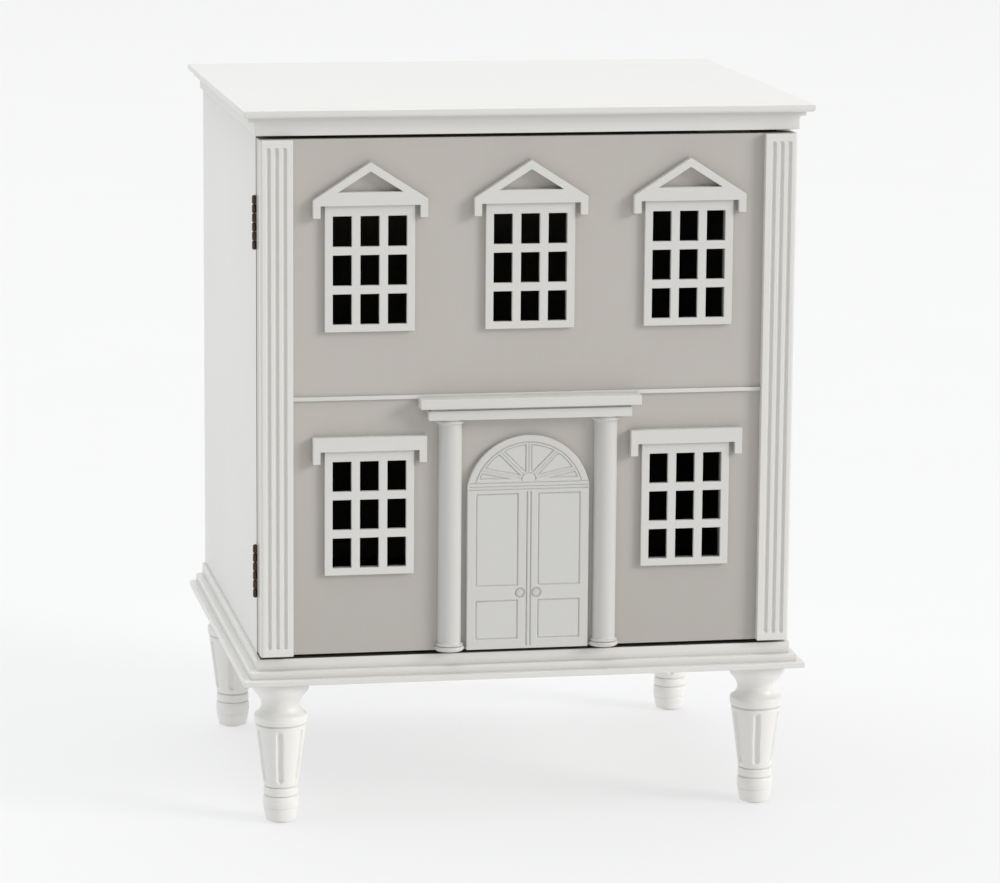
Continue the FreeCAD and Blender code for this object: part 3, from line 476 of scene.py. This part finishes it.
# A flat plate with rectangular holes, cut on a grid of lines: solid[i, j] says which cells are wood.
def lattice(name, node, xEdges, zEdges, solid, material, bevel=0.35 * mm, body="door"):
    low, high = span(node)
    columns, rows = len(xEdges), len(zEdges)
    xx, zz = np.meshgrid(xEdges, zEdges, indexing="ij")
    front = np.stack([xx, np.full_like(xx, low[1]), zz], -1).reshape(-1, 3)
    back = np.stack([xx, np.full_like(xx, high[1]), zz], -1).reshape(-1, 3)
    index = np.arange(columns * rows).reshape(columns, rows)
    shift = columns * rows
    padded = np.pad(solid, 1)
    faces = []
    i, j = np.nonzero(solid)
    a, b, c, d = index[i, j], index[i + 1, j], index[i + 1, j + 1], index[i, j + 1]
    faces += np.stack([a, b, c, d], -1).tolist()
    faces += (np.stack([d, c, b, a], -1) + shift).tolist()
    for di, dj, first, second in ((-1, 0, d, a), (1, 0, b, c), (0, -1, a, b), (0, 1, c, d)):
        bare = ~padded[i + 1 + di, j + 1 + dj]
        one, two = first[bare], second[bare]
        faces += np.stack([two, one, one + shift, two + shift], -1).tolist()
    points = np.concatenate([front, back])
    used = np.unique(np.concatenate([np.ravel(face) for face in faces]))
    lookup = np.full(len(points), -1)
    lookup[used] = np.arange(len(used))
    faces = lookup[np.array(faces)].tolist()
    return buildPiece(name, points[used], faces, body, node, material, 25, bevel)


windowPlan = {
    "paneWidth": 18.6 * mm,
    "muntin": 8.2 * mm,
    "paneHeight": 29.6 * mm,
    "rail": 8.1 * mm,
    "sill": 7.1 * mm,
    "margin": 2.8 * mm,
}
windowNames = ["upper_left", "upper_centre", "upper_right", "lower_left", "lower_right"]
paneField = 3 * windowPlan["paneWidth"] + 2 * windowPlan["muntin"]
paneRise = 3 * windowPlan["paneHeight"] + 2 * windowPlan["rail"]


def paneEdges(start, size, gap):
    starts = start + np.arange(3) * (size + gap)
    return np.stack([starts, starts + size], -1).ravel()


cutouts = []
for windowName in windowNames:
    node = "window_" + windowName
    low, high = span(node)
    middle = (low[0] + high[0]) / 2
    xEdges = np.concatenate([
        [low[0]], paneEdges(middle - paneField / 2, windowPlan["paneWidth"], windowPlan["muntin"]),
        [high[0]]])
    zEdges = np.concatenate([
        [low[2]], paneEdges(low[2] + windowPlan["sill"], windowPlan["paneHeight"],
                            windowPlan["rail"]), [high[2]]])
    solid = np.ones((7, 7), bool)
    solid[1::2, 1::2] = False
    lattice("window" + windowName.title().replace("_", ""), node, xEdges, zEdges, solid,
            trimShadedPaint)
    margin = windowPlan["margin"]
    cutouts.append((middle - paneField / 2 - margin, middle + paneField / 2 + margin,
                    low[2] + windowPlan["sill"] - margin,
                    low[2] + windowPlan["sill"] + paneRise + margin))

holes = np.array(cutouts)
xEdges = np.unique(np.round(np.concatenate([[doorLow[0], doorHigh[0]], holes[:, :2].ravel()]), 6))
zEdges = np.unique(np.round(np.concatenate([[doorLow[2], doorHigh[2]], holes[:, 2:].ravel()]), 6))
xMiddle = (xEdges[1:] + xEdges[:-1]) / 2
zMiddle = (zEdges[1:] + zEdges[:-1]) / 2
solid = np.ones((len(xMiddle), len(zMiddle)), bool)
for left, right, bottom, top in cutouts:
    solid &= ~(((xMiddle > left) & (xMiddle < right))[:, None]
               & ((zMiddle > bottom) & (zMiddle < top))[None, :])
lattice("doorPanel", "door_panel", xEdges, zEdges, solid, facadePaint, 0.6 * mm)
print("door panel and windows ready")


# A plate from flat outlines in X and Z, such as a window hood; the first runs round it, the rest
# are holes.
def cutPlate(name, node, outlines, body="door", bevel=0.4 * mm):
    low, high = span(node)
    flat = [[Vector((x, z, 0)) for x, z in outline] for outline in outlines]
    triangles = np.array(tessellate_polygon(flat))
    corners = np.array([point for outline in outlines for point in outline])
    a, b, c = (corners[triangles[:, k]] for k in range(3))
    twist = (b[:, 0] - a[:, 0]) * (c[:, 1] - a[:, 1]) - (b[:, 1] - a[:, 1]) * (c[:, 0] - a[:, 0])
    triangles[twist < 0] = triangles[twist < 0][:, ::-1]
    count = len(corners)
    faces = triangles.tolist() + (triangles[:, ::-1] + count).tolist()
    start = 0
    for number, outline in enumerate(outlines):
        ring = np.arange(len(outline)) + start
        following = np.roll(ring, -1)
        start += len(outline)
        x, z = np.array(outline).T
        area = np.sum(x * np.roll(z, -1) - np.roll(x, -1) * z)
        wall = np.stack([following, ring, ring + count, following + count], -1)
        if (area > 0) == (number > 0):
            wall = wall[:, ::-1]
        faces += wall.tolist()
    points = np.concatenate([
        np.column_stack([corners[:, 0], np.full(count, low[1]), corners[:, 1]]),
        np.column_stack([corners[:, 0], np.full(count, high[1]), corners[:, 1]])])
    return buildPiece(name, points, faces, body, node, trimShadedPaint, 25, bevel)


hoodPlan = {
    "ear": 7.2 * mm,
    "drop": 11.9 * mm,
    "eaves": 5.8 * mm,
    "holeHalf": 31.2 * mm,
    "holeBase": 13.1 * mm,
    "holeRise": 19.7 * mm,
}
for windowName in windowNames:
    node = "hood_" + windowName
    low, high = span(node)
    middle = (low[0] + high[0]) / 2
    notch = low[2] + hoodPlan["drop"]
    inner = (high[0] - low[0]) / 2 - hoodPlan["ear"]
    legsOutline = [(low[0], low[2]), (middle - inner, low[2]), (middle - inner, notch),
                   (middle + inner, notch), (middle + inner, low[2]), (high[0], low[2])]
    title = "hood" + windowName.title().replace("_", "")
    if windowName.startswith("upper"):
        eaves = notch + hoodPlan["eaves"]
        base = notch + hoodPlan["holeBase"]
        outline = legsOutline + [(high[0], eaves), (middle, high[2]), (low[0], eaves)]
        hole = [(middle - hoodPlan["holeHalf"], base), (middle + hoodPlan["holeHalf"], base),
                (middle, base + hoodPlan["holeRise"])]
        cutPlate(title, node, [outline, hole])
    else:
        cutPlate(title, node, [legsOutline + [(high[0], high[2]), (low[0], high[2])]])
print("hoods ready")


# turned legs
legPlan = {
    "fluteTop": 92.0 * mm,
    "fluteBottom": 45.0 * mm,
    "fluteRadius": 3.6 * mm,
    "fluteSet": 1.2 * mm,
    "flutes": 6,
    "firstFlute": math.radians(-100.0),
    "row": 0.9 * mm,
    "around": 192,
}
# radius and level of the turned outline, in millimetres from the floor
legOutline = np.array([
    (14.0, 2.0), (14.9, 2.5), (15.6, 6.5), (16.5, 11.0), (17.05, 14.3), (16.7, 15.0),
    (17.3, 15.7), (17.7, 20.0), (17.6, 23.5),
    (17.2, 26.2), (16.5, 26.9), (15.6, 27.3), (16.4, 27.8), (16.9, 28.4), (17.0, 30.5), (17.0, 33.5),
    (16.8, 35.4), (16.0, 36.0), (15.2, 36.4), (16.0, 36.9), (16.7, 37.3), (17.0, 38.5),
    (18.8, 52.0), (20.9, 68.0), (22.8, 82.0), (24.5, 94.5), (24.9, 98.0), (24.6, 98.9),
    (23.4, 99.5), (23.6, 100.1), (25.2, 100.5), (25.9, 101.2), (26.2, 103.0), (26.3, 105.5),
    (26.3, 107.8), (25.8, 109.2), (24.6, 110.2), (23.0, 111.1), (21.4, 112.6), (20.1, 114.6),
    (19.3, 117.0), (19.1, 119.5), (19.3, 121.6), (20.2, 124.2), (21.9, 126.9), (24.2, 129.6),
    (26.3, 132.0), (27.9, 134.8), (28.5, 138.0), (28.6, 141.0), (28.4, 144.2)]) * mm


# Radius follows the turned outline; each flute takes out a ball-ended scoop whose axis runs along
# the taper, so radius = outline - depth(angle, level).
def makeLeg(name, node):
    low, high = span(node)
    centre = (low + high) / 2
    pieces = []
    for (r0, z0), (r1, z1) in zip(legOutline[:-1], legOutline[1:]):
        count = max(1, int((z1 - z0) / legPlan["row"]))
        t = np.arange(count) / count
        pieces.append(np.column_stack([r0 + (r1 - r0) * t, z0 + (z1 - z0) * t]))
    outline = np.concatenate(pieces + [legOutline[-1:]])
    radius, level = outline.T
    turn = np.linspace(0, 2 * math.pi, legPlan["around"], endpoint=False)
    sector = 2 * math.pi / legPlan["flutes"]
    off = (turn - legPlan["firstFlute"] + sector / 2) % sector - sector / 2
    aside = radius[:, None] * np.sin(off)[None, :]
    beyond = np.maximum(level - legPlan["fluteTop"], 0) + np.maximum(legPlan["fluteBottom"] - level, 0)
    reach = legPlan["fluteRadius"] ** 2 - aside ** 2 - beyond[:, None] ** 2
    depth = np.maximum(np.sqrt(np.maximum(reach, 0)) - legPlan["fluteSet"], 0)
    r = radius[:, None] - depth
    rings = np.stack([centre[0] + r * np.cos(turn), centre[1] + r * np.sin(turn),
                      np.repeat(level[:, None], len(turn), 1)], -1)
    points, faces = capped(rings)
    return buildPiece(name, points, faces, "cabinet", node, legLitPaint, 50)


for title, node in (("legFrontLeft", "leg_front_left"), ("legFrontRight", "leg_front_right"),
                    ("legBackLeft", "leg_back_left"), ("legBackRight", "leg_back_right")):
    makeLeg(title, node)
print("legs ready")

# half columns of the porch
columnPlan = {
    "shaft": 11.6, "plinth": 14.8, "capital": 14.7, "plinthHeight": 7.3, "capitalHeight": 4.6,
    "footBead": (2.2, 2.3), "upperBead": 1.1, "capitalBead": (1.5, 1.9), "flare": 0.5,
}


# half an ellipse that bulges out to the edge: edge - wide + wide * cos, middle + tall * sin
def bead(edge, wide, tall, middle):
    bulge = np.linspace(-math.pi / 2, math.pi / 2, 9)
    return [(edge - wide + wide * math.cos(a), middle + tall * math.sin(a)) for a in bulge]


# Half a turned outline: each ring is a half circle closed by its flat back.
def makeColumn(name, node):
    low, high = span(node)
    middle = (low[0] + high[0]) / 2
    tall = (high[2] - low[2]) / mm
    shaft, plinth, capital = columnPlan["shaft"], columnPlan["plinth"], columnPlan["capital"]
    foot, head = columnPlan["plinthHeight"], tall - columnPlan["capitalHeight"]
    wide, half = columnPlan["footBead"]
    small = columnPlan["upperBead"]
    outline = bead(plinth, wide, half, half)
    outline += [(plinth - wide - 0.4, 2 * half + 0.15)]
    outline += bead(plinth - wide + small, small, small, foot - small - 0.2)
    outline += [(shaft + columnPlan["flare"], foot), (shaft, foot + 0.7), (shaft, foot + 3.4)]
    outline += [(shaft, foot + 3.4 + (head - foot - 8) * t) for t in (0.25, 0.5, 0.75, 1.0)]
    outline += [(shaft, head - 2.4), (shaft + 0.3, head - 1.2), (shaft + 0.9, head - 0.4),
                (shaft + 1.6, head)]
    wide, half = columnPlan["capitalBead"]
    outline += bead(capital, wide, half, head + half)
    outline += [(capital - 0.2, head + 3.9), (capital - 0.2, tall)]
    radius, level = np.array(outline).T * mm
    turn = np.linspace(math.pi, 2 * math.pi, 49)
    rings = np.stack([middle + radius[:, None] * np.cos(turn), high[1] + radius[:, None] * np.sin(turn),
                      np.repeat(low[2] + level[:, None], len(turn), 1)], -1)
    points, faces = capped(rings)
    return buildPiece(name, points, faces, "door", node, columnShadedPaint, 40)


makeColumn("columnLeft", "column_left")
makeColumn("columnRight", "column_right")

# porch roof: two slabs with a recessed line between them
porchPlan = {"recess": 2.6 * mm, "recessRise": 2.4 * mm, "edge": 0.6 * mm, "touch": 0.15 * mm,
             "lift": 0.2 * mm}
plainBoard("porchUpperSlab", "porch_upper_slab", "door", trimShadedPaint, 0.7 * mm, 0.8 * mm)
low, high = span("porch_lower_slab")
recess, edge, touch, lift = (porchPlan[key] for key in ("recess", "edge", "touch", "lift"))
step = high[2] - porchPlan["recessRise"]
ringList = []
for inset, level in ([(edge, low[2]), (touch, low[2] + lift), (0, low[2] + edge),
                      (0, step - edge), (touch, step - lift), (edge, step),
                      (recess, step), (recess, high[2])]):
    outline = roundedOutline((low[0] + inset, low[1] + inset), (high[0] - inset, high[1]), edge)
    ringList.append(np.column_stack([outline, np.full(len(outline), level)]))
points, faces = capped(np.array(ringList))
buildPiece("porchLowerSlab", points, faces, "door", "porch_lower_slab", trimShadedPaint)
print("porch ready")

# pilasters
pilasterPlan = {"flutePitch": 7.8 * mm, "fluteRadius": 2.45 * mm, "fluteSet": 0.4 * mm,
                "fluteMargin": 9.6 * mm, "round": 3.0 * mm, "edge": 0.5 * mm, "across": 150,
                "endZone": 3.0 * mm, "endRows": 25, "middleRows": 12}


# The front is a height over (x, z): y = front + depth of three ball-ended flutes. The same loop
# carries on round the outer corner, the sides and the back.
def makePilaster(name, node, sign):
    low, high = span(node)
    middle = (low[0] + high[0]) / 2
    half = (high[0] - low[0]) / 2
    plan = pilasterPlan
    outer, inner, edge = plan["round"], plan["edge"], plan["edge"]
    turn = np.linspace(0, math.pi / 2, 7)
    # across the board, measured from its middle, outer side first
    faceX = np.linspace(half - outer, -(half - inner), plan["across"])[1:-1]
    corner = np.column_stack([half - outer + outer * np.cos(turn),
                              low[1] + outer - outer * np.sin(turn)])
    inside = np.column_stack([-(half - inner) - inner * np.sin(turn),
                              low[1] + inner - inner * np.cos(turn)])
    loop = np.concatenate([
        [[half, high[1]]], corner, np.column_stack([faceX, np.full(len(faceX), low[1])]), inside,
        [[-half, high[1]]]])
    ends = plan["fluteMargin"]
    bottom, top = low[2] + ends, high[2] - ends
    dense = np.linspace(-plan["endZone"], plan["endZone"], plan["endRows"])
    levels = np.unique(np.concatenate([
        [low[2] + edge, high[2] - edge], bottom + dense, top + dense,
        np.linspace(bottom + 4 * mm, top - 4 * mm, plan["middleRows"])]))
    off = np.abs(loop[:, 0])
    nearest = np.minimum(off, np.abs(off - plan["flutePitch"]))
    beyond = np.maximum(levels - top, 0) + np.maximum(bottom - levels, 0)
    reach = plan["fluteRadius"] ** 2 - nearest[None, :] ** 2 - beyond[:, None] ** 2
    depth = np.maximum(np.sqrt(np.maximum(reach, 0)) - plan["fluteSet"], 0)
    depth[:, np.abs(loop[:, 1] - low[1]) > 1e-7] = 0
    rings = np.empty((len(levels), len(loop), 3))
    rings[:, :, 0] = middle + sign * loop[None, :, 0]
    rings[:, :, 1] = loop[None, :, 1] + depth
    rings[:, :, 2] = levels[:, None]
    # the two ends turn over by a small edge
    shrink = loop.copy()
    shrink[:, 0] *= (half - edge) / half
    shrink[:, 1] = np.maximum(shrink[:, 1], low[1] + edge)
    caps = [np.column_stack([middle + sign * shrink[:, 0], shrink[:, 1], np.full(len(loop), level)])
            for level in (low[2], high[2])]
    rings = np.concatenate([[caps[0]], rings, [caps[1]]])
    points, faces = capped(rings, flip=sign < 0)
    return buildPiece(name, points, faces, "door", node, smooth=40)


makePilaster("pilasterLeft", "pilaster_left", -1)
makePilaster("pilasterRight", "pilaster_right", 1)
print("pilasters ready")

# the entrance: a carved board with two doors and a fanlight
entrancePlan = {
    "half": 60.4, "thick": 5.4, "spring": 162.8, "rise": 49.6,
    "across": 301, "up": 430, "bend": 180, "nearLine": 2.6, "spacing": 12, "edge": 0.5,
    "panelX": (9.6, 52.0), "upperPanel": (62.7, 155.2), "lowerPanel": (9.6, 48.9),
    "seam": 0.7, "beadHalf": 1.9, "seamTop": 157.0, "seamBottom": 2.2,
    "railLines": (165.6, 162.0, 159.0), "fanBase": 168.3, "knob": (8.0, 55.9), "knobRing": 4.4,
    "knobInner": 2.5, "hub": 7.0, "spoke": 2.3, "spokeTurns": (-78, -45, 0, 45, 78),
    "rimLine": 6.9, "paneLine": 9.0,
}
# the arch is a circle through both spring points and the crown
archRadius = (entrancePlan["half"] ** 2 + entrancePlan["rise"] ** 2) / (2 * entrancePlan["rise"])
archCentre = entrancePlan["spring"] + entrancePlan["rise"] - archRadius


def ease(value, low, high):
    t = np.clip((value - low) / (high - low), 0, 1)
    return t * t * (3 - 2 * t)


# A round-bottomed line: depth times half a cosine across its width.
def groove(distance, width, depth):
    return depth * 0.5 * (1 + np.cos(np.clip(distance / width, -1, 1) * math.pi))


# Depth in millimetres below the board's face at (x, z) from its bottom middle.
def entranceRelief(x, z):
    plan = entrancePlan
    depth = np.zeros_like(x)
    for bottom, top in (plan["upperPanel"], plan["lowerPanel"]):
        inside = np.minimum(np.minimum(np.abs(x) - plan["panelX"][0], plan["panelX"][1] - np.abs(x)),
                            np.minimum(z - bottom, top - z))
        depth = np.maximum(depth, groove(inside - 0.8, 1.1, 1.3))
        depth = np.maximum(depth, 0.45 * ease(inside, 0.4, 0.9))
    down = ease(z, plan["seamTop"], plan["seamTop"] - 0.8) * ease(z, plan["seamBottom"],
                                                                  plan["seamBottom"] + 0.8)
    for side in (-1, 1):
        offset = x - plan["seam"] - side * plan["beadHalf"]
        depth = np.maximum(depth, groove(offset, 0.95, 1.3) * down)
    for line in plan["railLines"]:
        depth = np.maximum(depth, groove(z - line, 0.85, 0.95))
    fromArch = archRadius - np.hypot(x, z - archCentre)
    above = ease(z, plan["spring"] + 2.0, plan["spring"] + 3.4)
    depth = np.maximum(depth, groove(fromArch - plan["rimLine"], 0.8, 1.1) * above)
    rise = z - plan["fanBase"]
    fromHub = np.hypot(x, rise)
    pane = np.minimum(fromArch - plan["paneLine"], rise - 1.2)
    pane = np.minimum(pane, fromHub - plan["hub"] - 1.6)
    for angle in plan["spokeTurns"]:
        sx, sz = math.sin(math.radians(angle)), math.cos(math.radians(angle))
        along = x * sx + rise * sz
        aside = np.abs(x * sz - rise * sx)
        pane = np.where(along > 0, np.minimum(pane, aside - plan["spoke"]), pane)
        inGap = (along > plan["hub"] + 1) * (fromArch > plan["rimLine"]) * (rise > 0)
        depth = np.maximum(depth, groove(aside - plan["spoke"] * 0.25, 0.6, 0.5) * inGap)
    depth = np.maximum(depth, groove(pane - 0.6, 0.9, 1.2))
    depth = np.maximum(depth, 0.5 * ease(pane, 0.2, 0.8))
    depth = np.maximum(depth, groove(fromHub - plan["hub"], 0.9, 1.0) * (rise > -0.5))
    knobX, knobZ = plan["knob"]
    fromKnob = np.hypot(np.abs(x - plan["seam"] * 0.5) - knobX, z - knobZ)
    depth = np.maximum(depth, groove(fromKnob - plan["knobRing"], 0.9, 1.2))
    depth = depth - 0.7 * ease(fromKnob, plan["knobRing"] - 0.7, plan["knobRing"] - 1.3)
    depth = depth + groove(fromKnob - plan["knobInner"], 0.7, 0.6)
    return depth


# Rows run up the board and narrow along the arch: x = u * halfWidth(z), y = face + relief. Each row
# closes round the sides and the back.
def makeEntrance():
    plan = entrancePlan
    low, high = span("entrance_board")
    face = high[1] - plan["thick"] * mm
    half = plan["half"]
    tall = plan["spring"] + plan["rise"]
    # below the arch, rows stand close only where carved lines cross them
    fine = np.linspace(0.4, plan["spring"], plan["up"])
    knobLevel = plan["knob"][1]
    lines = np.array([*plan["upperPanel"], *plan["lowerPanel"], *plan["railLines"],
                      plan["seamTop"], plan["seamBottom"],
                      knobLevel - plan["knobRing"], knobLevel, knobLevel + plan["knobRing"]])
    close = np.abs(fine[:, None] - lines).min(1) < plan["nearLine"]
    close[::plan["spacing"]] = True
    close[-1] = True
    straight = fine[close]
    # in the arch they bunch up towards the crown, where it is flat
    bend = np.linspace(math.acos((plan["spring"] - archCentre) / archRadius), 0.012,
                       plan["bend"])[1:]
    z = np.concatenate([straight, archCentre + archRadius * np.cos(bend)])
    width = np.where(z <= plan["spring"], half,
                     np.sqrt(np.maximum(archRadius ** 2 - (z - archCentre) ** 2, 0)))
    u = np.linspace(-1, 1, plan["across"])
    edge = plan["edge"]
    x = u[None, :] * (width[:, None] - np.minimum(edge, width[:, None] * 0.5))
    zz = np.repeat(z[:, None], len(u), 1)
    fade = ease(np.minimum(width[:, None] - np.abs(x), tall - zz), 0.6, 1.6)
    y = face + entranceRelief(x, zz) * fade * mm
    front = np.stack([x * mm, y, low[2] + zz * mm], -1)

    def rim(sign, depth):
        return np.stack([sign * width * mm, np.full(len(z), face + depth), low[2] + z * mm], -1)[:, None]

    rings = np.concatenate([
        rim(-1, high[1] - face), rim(-1, edge * mm), front, rim(1, edge * mm),
        rim(1, high[1] - face)], 1)
    first = rings[0].copy()
    first[:, 2] = low[2]
    first[:, 1] = np.maximum(first[:, 1], face + edge * mm)
    last = rings[-1].copy()
    last[:, 0] *= 0.2
    last[:, 1] = np.maximum(last[:, 1], face + edge * mm)
    last[:, 2] = high[2]
    rings = np.concatenate([[first], rings, [last]])
    points, faces = capped(rings)
    return buildPiece("entranceBoard", points, faces, "door", "entrance_board", entranceShadedPaint, 60)


makeEntrance()
print("entrance ready")

# butt hinges: knuckles with eased ends, straps and a thin plate
hingePlan = {"thick": 1.3 * mm, "proud": 0.25 * mm, "ease": 0.7 * mm, "gap": 0.5 * mm, "knuckles": 6}


# A box whose top and bottom edges are eased.
def block(low, high, edge):
    profile = [(edge, low[2]), (0, low[2] + edge), (0, high[2] - edge), (edge, high[2])]
    return capped(np.array([
        np.column_stack([roundedOutline(low[:2] + inset, high[:2] - inset, edge, 4),
                         np.full(16, level)]) for inset, level in profile]))


# Each knuckle is a turned barrel whose ends follow a quarter circle.
def makeHingeLeaf(name, node, pin, onDoor):
    plan = hingePlan
    low, high = span(node)
    pinLow, pinHigh = span(pin)
    centre = (pinLow + pinHigh) / 2
    radius = centre[0] - low[0]
    pitch = (pinHigh[2] - pinLow[2]) / plan["knuckles"]
    if onDoor:
        faces = (low[1], low[1] + plan["thick"] - plan["proud"])
    else:
        faces = (high[1] - plan["thick"] + plan["proud"], high[1])
    plateStart = centre[0] + radius + 0.3 * mm
    solids = [block(np.array([plateStart, faces[0], low[2]]), np.array([high[0], faces[1], high[2]]),
                    0.25 * mm)]
    turn = np.linspace(0, 2 * math.pi, 40, endpoint=False)
    bend = np.linspace(0, math.pi / 2, 6)
    for step in range(3):
        start = pinLow[2] + pitch * (2 * step + (1 if onDoor else 0)) + plan["gap"]
        end = start + pitch - 2 * plan["gap"]
        soft = plan["ease"]
        radii = np.concatenate([radius - soft * (1 - np.sin(bend)), radius - soft * (1 - np.cos(bend))])
        levels = np.concatenate([start + soft * (1 - np.cos(bend)), end - soft * (1 - np.sin(bend))])
        rings = np.stack([centre[0] + radii[:, None] * np.cos(turn),
                          centre[1] + radii[:, None] * np.sin(turn),
                          np.repeat(levels[:, None], len(turn), 1)], -1)
        solids.append(capped(rings))
        solids.append(block(np.array([centre[0], faces[0], start]),
                            np.array([plateStart + 0.5 * mm, faces[1], end]), 0.2 * mm))
    points, quads, count = [], [], 0
    for part, partFaces in solids:
        points.append(part)
        quads += [[index + count for index in face] for face in partFaces]
        count += len(part)
    return buildPiece(name, np.concatenate(points), quads, "door" if onDoor else "cabinet", node,
                      smooth=40)


for level in ("upper", "lower"):
    pin = "hinge_" + level + "_pin"
    makeHingeLeaf("hinge" + level.title() + "SideLeaf", "hinge_" + level + "_side_leaf", pin, False)
    makeHingeLeaf("hinge" + level.title() + "DoorLeaf", "hinge_" + level + "_door_leaf", pin, True)
print("hinges ready")

# floor, lights and camera
floorPlan = {"half": 30.0, "front": -20.0, "back": 9.5, "bend": 2.5, "wall": 14.0, "glow": 0.612,
             "colour": (0.28, 0.28, 0.283, 1), "shade": (0.27, 0.27, 0.273, 1)}
turn = np.linspace(0, math.pi / 2, 24)
bend = floorPlan["bend"]
path = np.concatenate([
    [[floorPlan["front"], 0.0]],
    np.column_stack([floorPlan["back"] + bend * np.sin(turn), bend * (1 - np.cos(turn))]),
    [[floorPlan["back"] + bend, floorPlan["wall"]]]])
sweep = np.array([[[x, y, z] for y, z in path] for x in (-floorPlan["half"], floorPlan["half"])])
floorMesh = bpy.data.meshes.new("studioFloor")
floorMesh.from_pydata(sweep.reshape(-1, 3).tolist(), [], gridFaces(2, len(path), False))
floorMesh.flip_normals()
floorMesh.shade_smooth()
floor = bpy.data.objects.new("studioFloor", floorMesh)
bpy.context.scene.collection.objects.link(floor)
floorMaterial, floorShader, floorPlace = newMaterial("studioFloor")
feed(floorShader, "Base Color", blendColour(noise(floorPlace, 3.0), floorPlan["colour"],
                                            floorPlan["shade"]))
floorShader.inputs["Roughness"].default_value = 0.9
floorShader.inputs["Specular IOR Level"].default_value = 0.0
floorShader.inputs["Emission Color"].default_value = (1, 1, 1, 1)
floorShader.inputs["Emission Strength"].default_value = floorPlan["glow"]
floorMesh.materials.append(floorMaterial)

worldPlan = {"colour": (1.0, 1.0, 1.0, 1), "strength": 0.35}
world = bpy.data.worlds.new("studio")
bpy.context.scene.world = world
world.use_nodes = True
sky = world.node_tree.nodes["Background"]
sky.inputs["Color"].default_value = worldPlan["colour"]
sky.inputs["Strength"].default_value = worldPlan["strength"]

lampDistance = 3.0
lightPlan = [
    {"name": "keyRight", "towards": (0.72, -0.42, 0.34), "spread": 24.0, "strength": 1.75,
     "colour": (1.0, 0.985, 0.955)},
    {"name": "fillLeft", "towards": (-1.0, 0.05, 0.20), "spread": 50.0, "strength": 0.52,
     "colour": (0.93, 0.97, 1.0)},
    {"name": "topSoft", "towards": (-0.10, 0.12, 1.0), "spread": 70.0, "strength": 1.80,
     "colour": (0.96, 0.985, 1.0)},
]
for plan in lightPlan:
    data = bpy.data.lights.new(plan["name"], "SUN")
    data.angle = math.radians(plan["spread"])
    data.energy = plan["strength"]
    data.color = plan["colour"]
    lamp = bpy.data.objects.new(plan["name"], data)
    lamp.location = Vector(plan["towards"]) * lampDistance
    lamp.rotation_euler = (-Vector(plan["towards"])).to_track_quat("-Z", "Y").to_euler()
    bpy.context.scene.collection.objects.link(lamp)

cameraPlan = {"place": (-0.78655, -4.29364, 1.14479), "turn": 10.5524, "tilt": 10.4758,
              "roll": 0.4502, "lens": 156.02, "sensor": 36.0, "reach": 60.0}
cameraData = bpy.data.cameras.new("camera")
cameraData.lens = cameraPlan["lens"]
cameraData.sensor_width = cameraPlan["sensor"]
cameraData.clip_end = cameraPlan["reach"]
camera = bpy.data.objects.new("camera", cameraData)
camera.location = cameraPlan["place"]
turnMatrix = (Matrix.Rotation(-math.radians(cameraPlan["turn"]), 3, "Z")
              @ Matrix.Rotation(math.radians(90 - cameraPlan["tilt"]), 3, "X")
              @ Matrix.Rotation(math.radians(cameraPlan["roll"]), 3, "Z"))
camera.rotation_euler = turnMatrix.to_euler()
bpy.context.scene.collection.objects.link(camera)
bpy.context.scene.camera = camera
bpy.context.scene.view_settings.view_transform = "Standard"
print("stage ready")
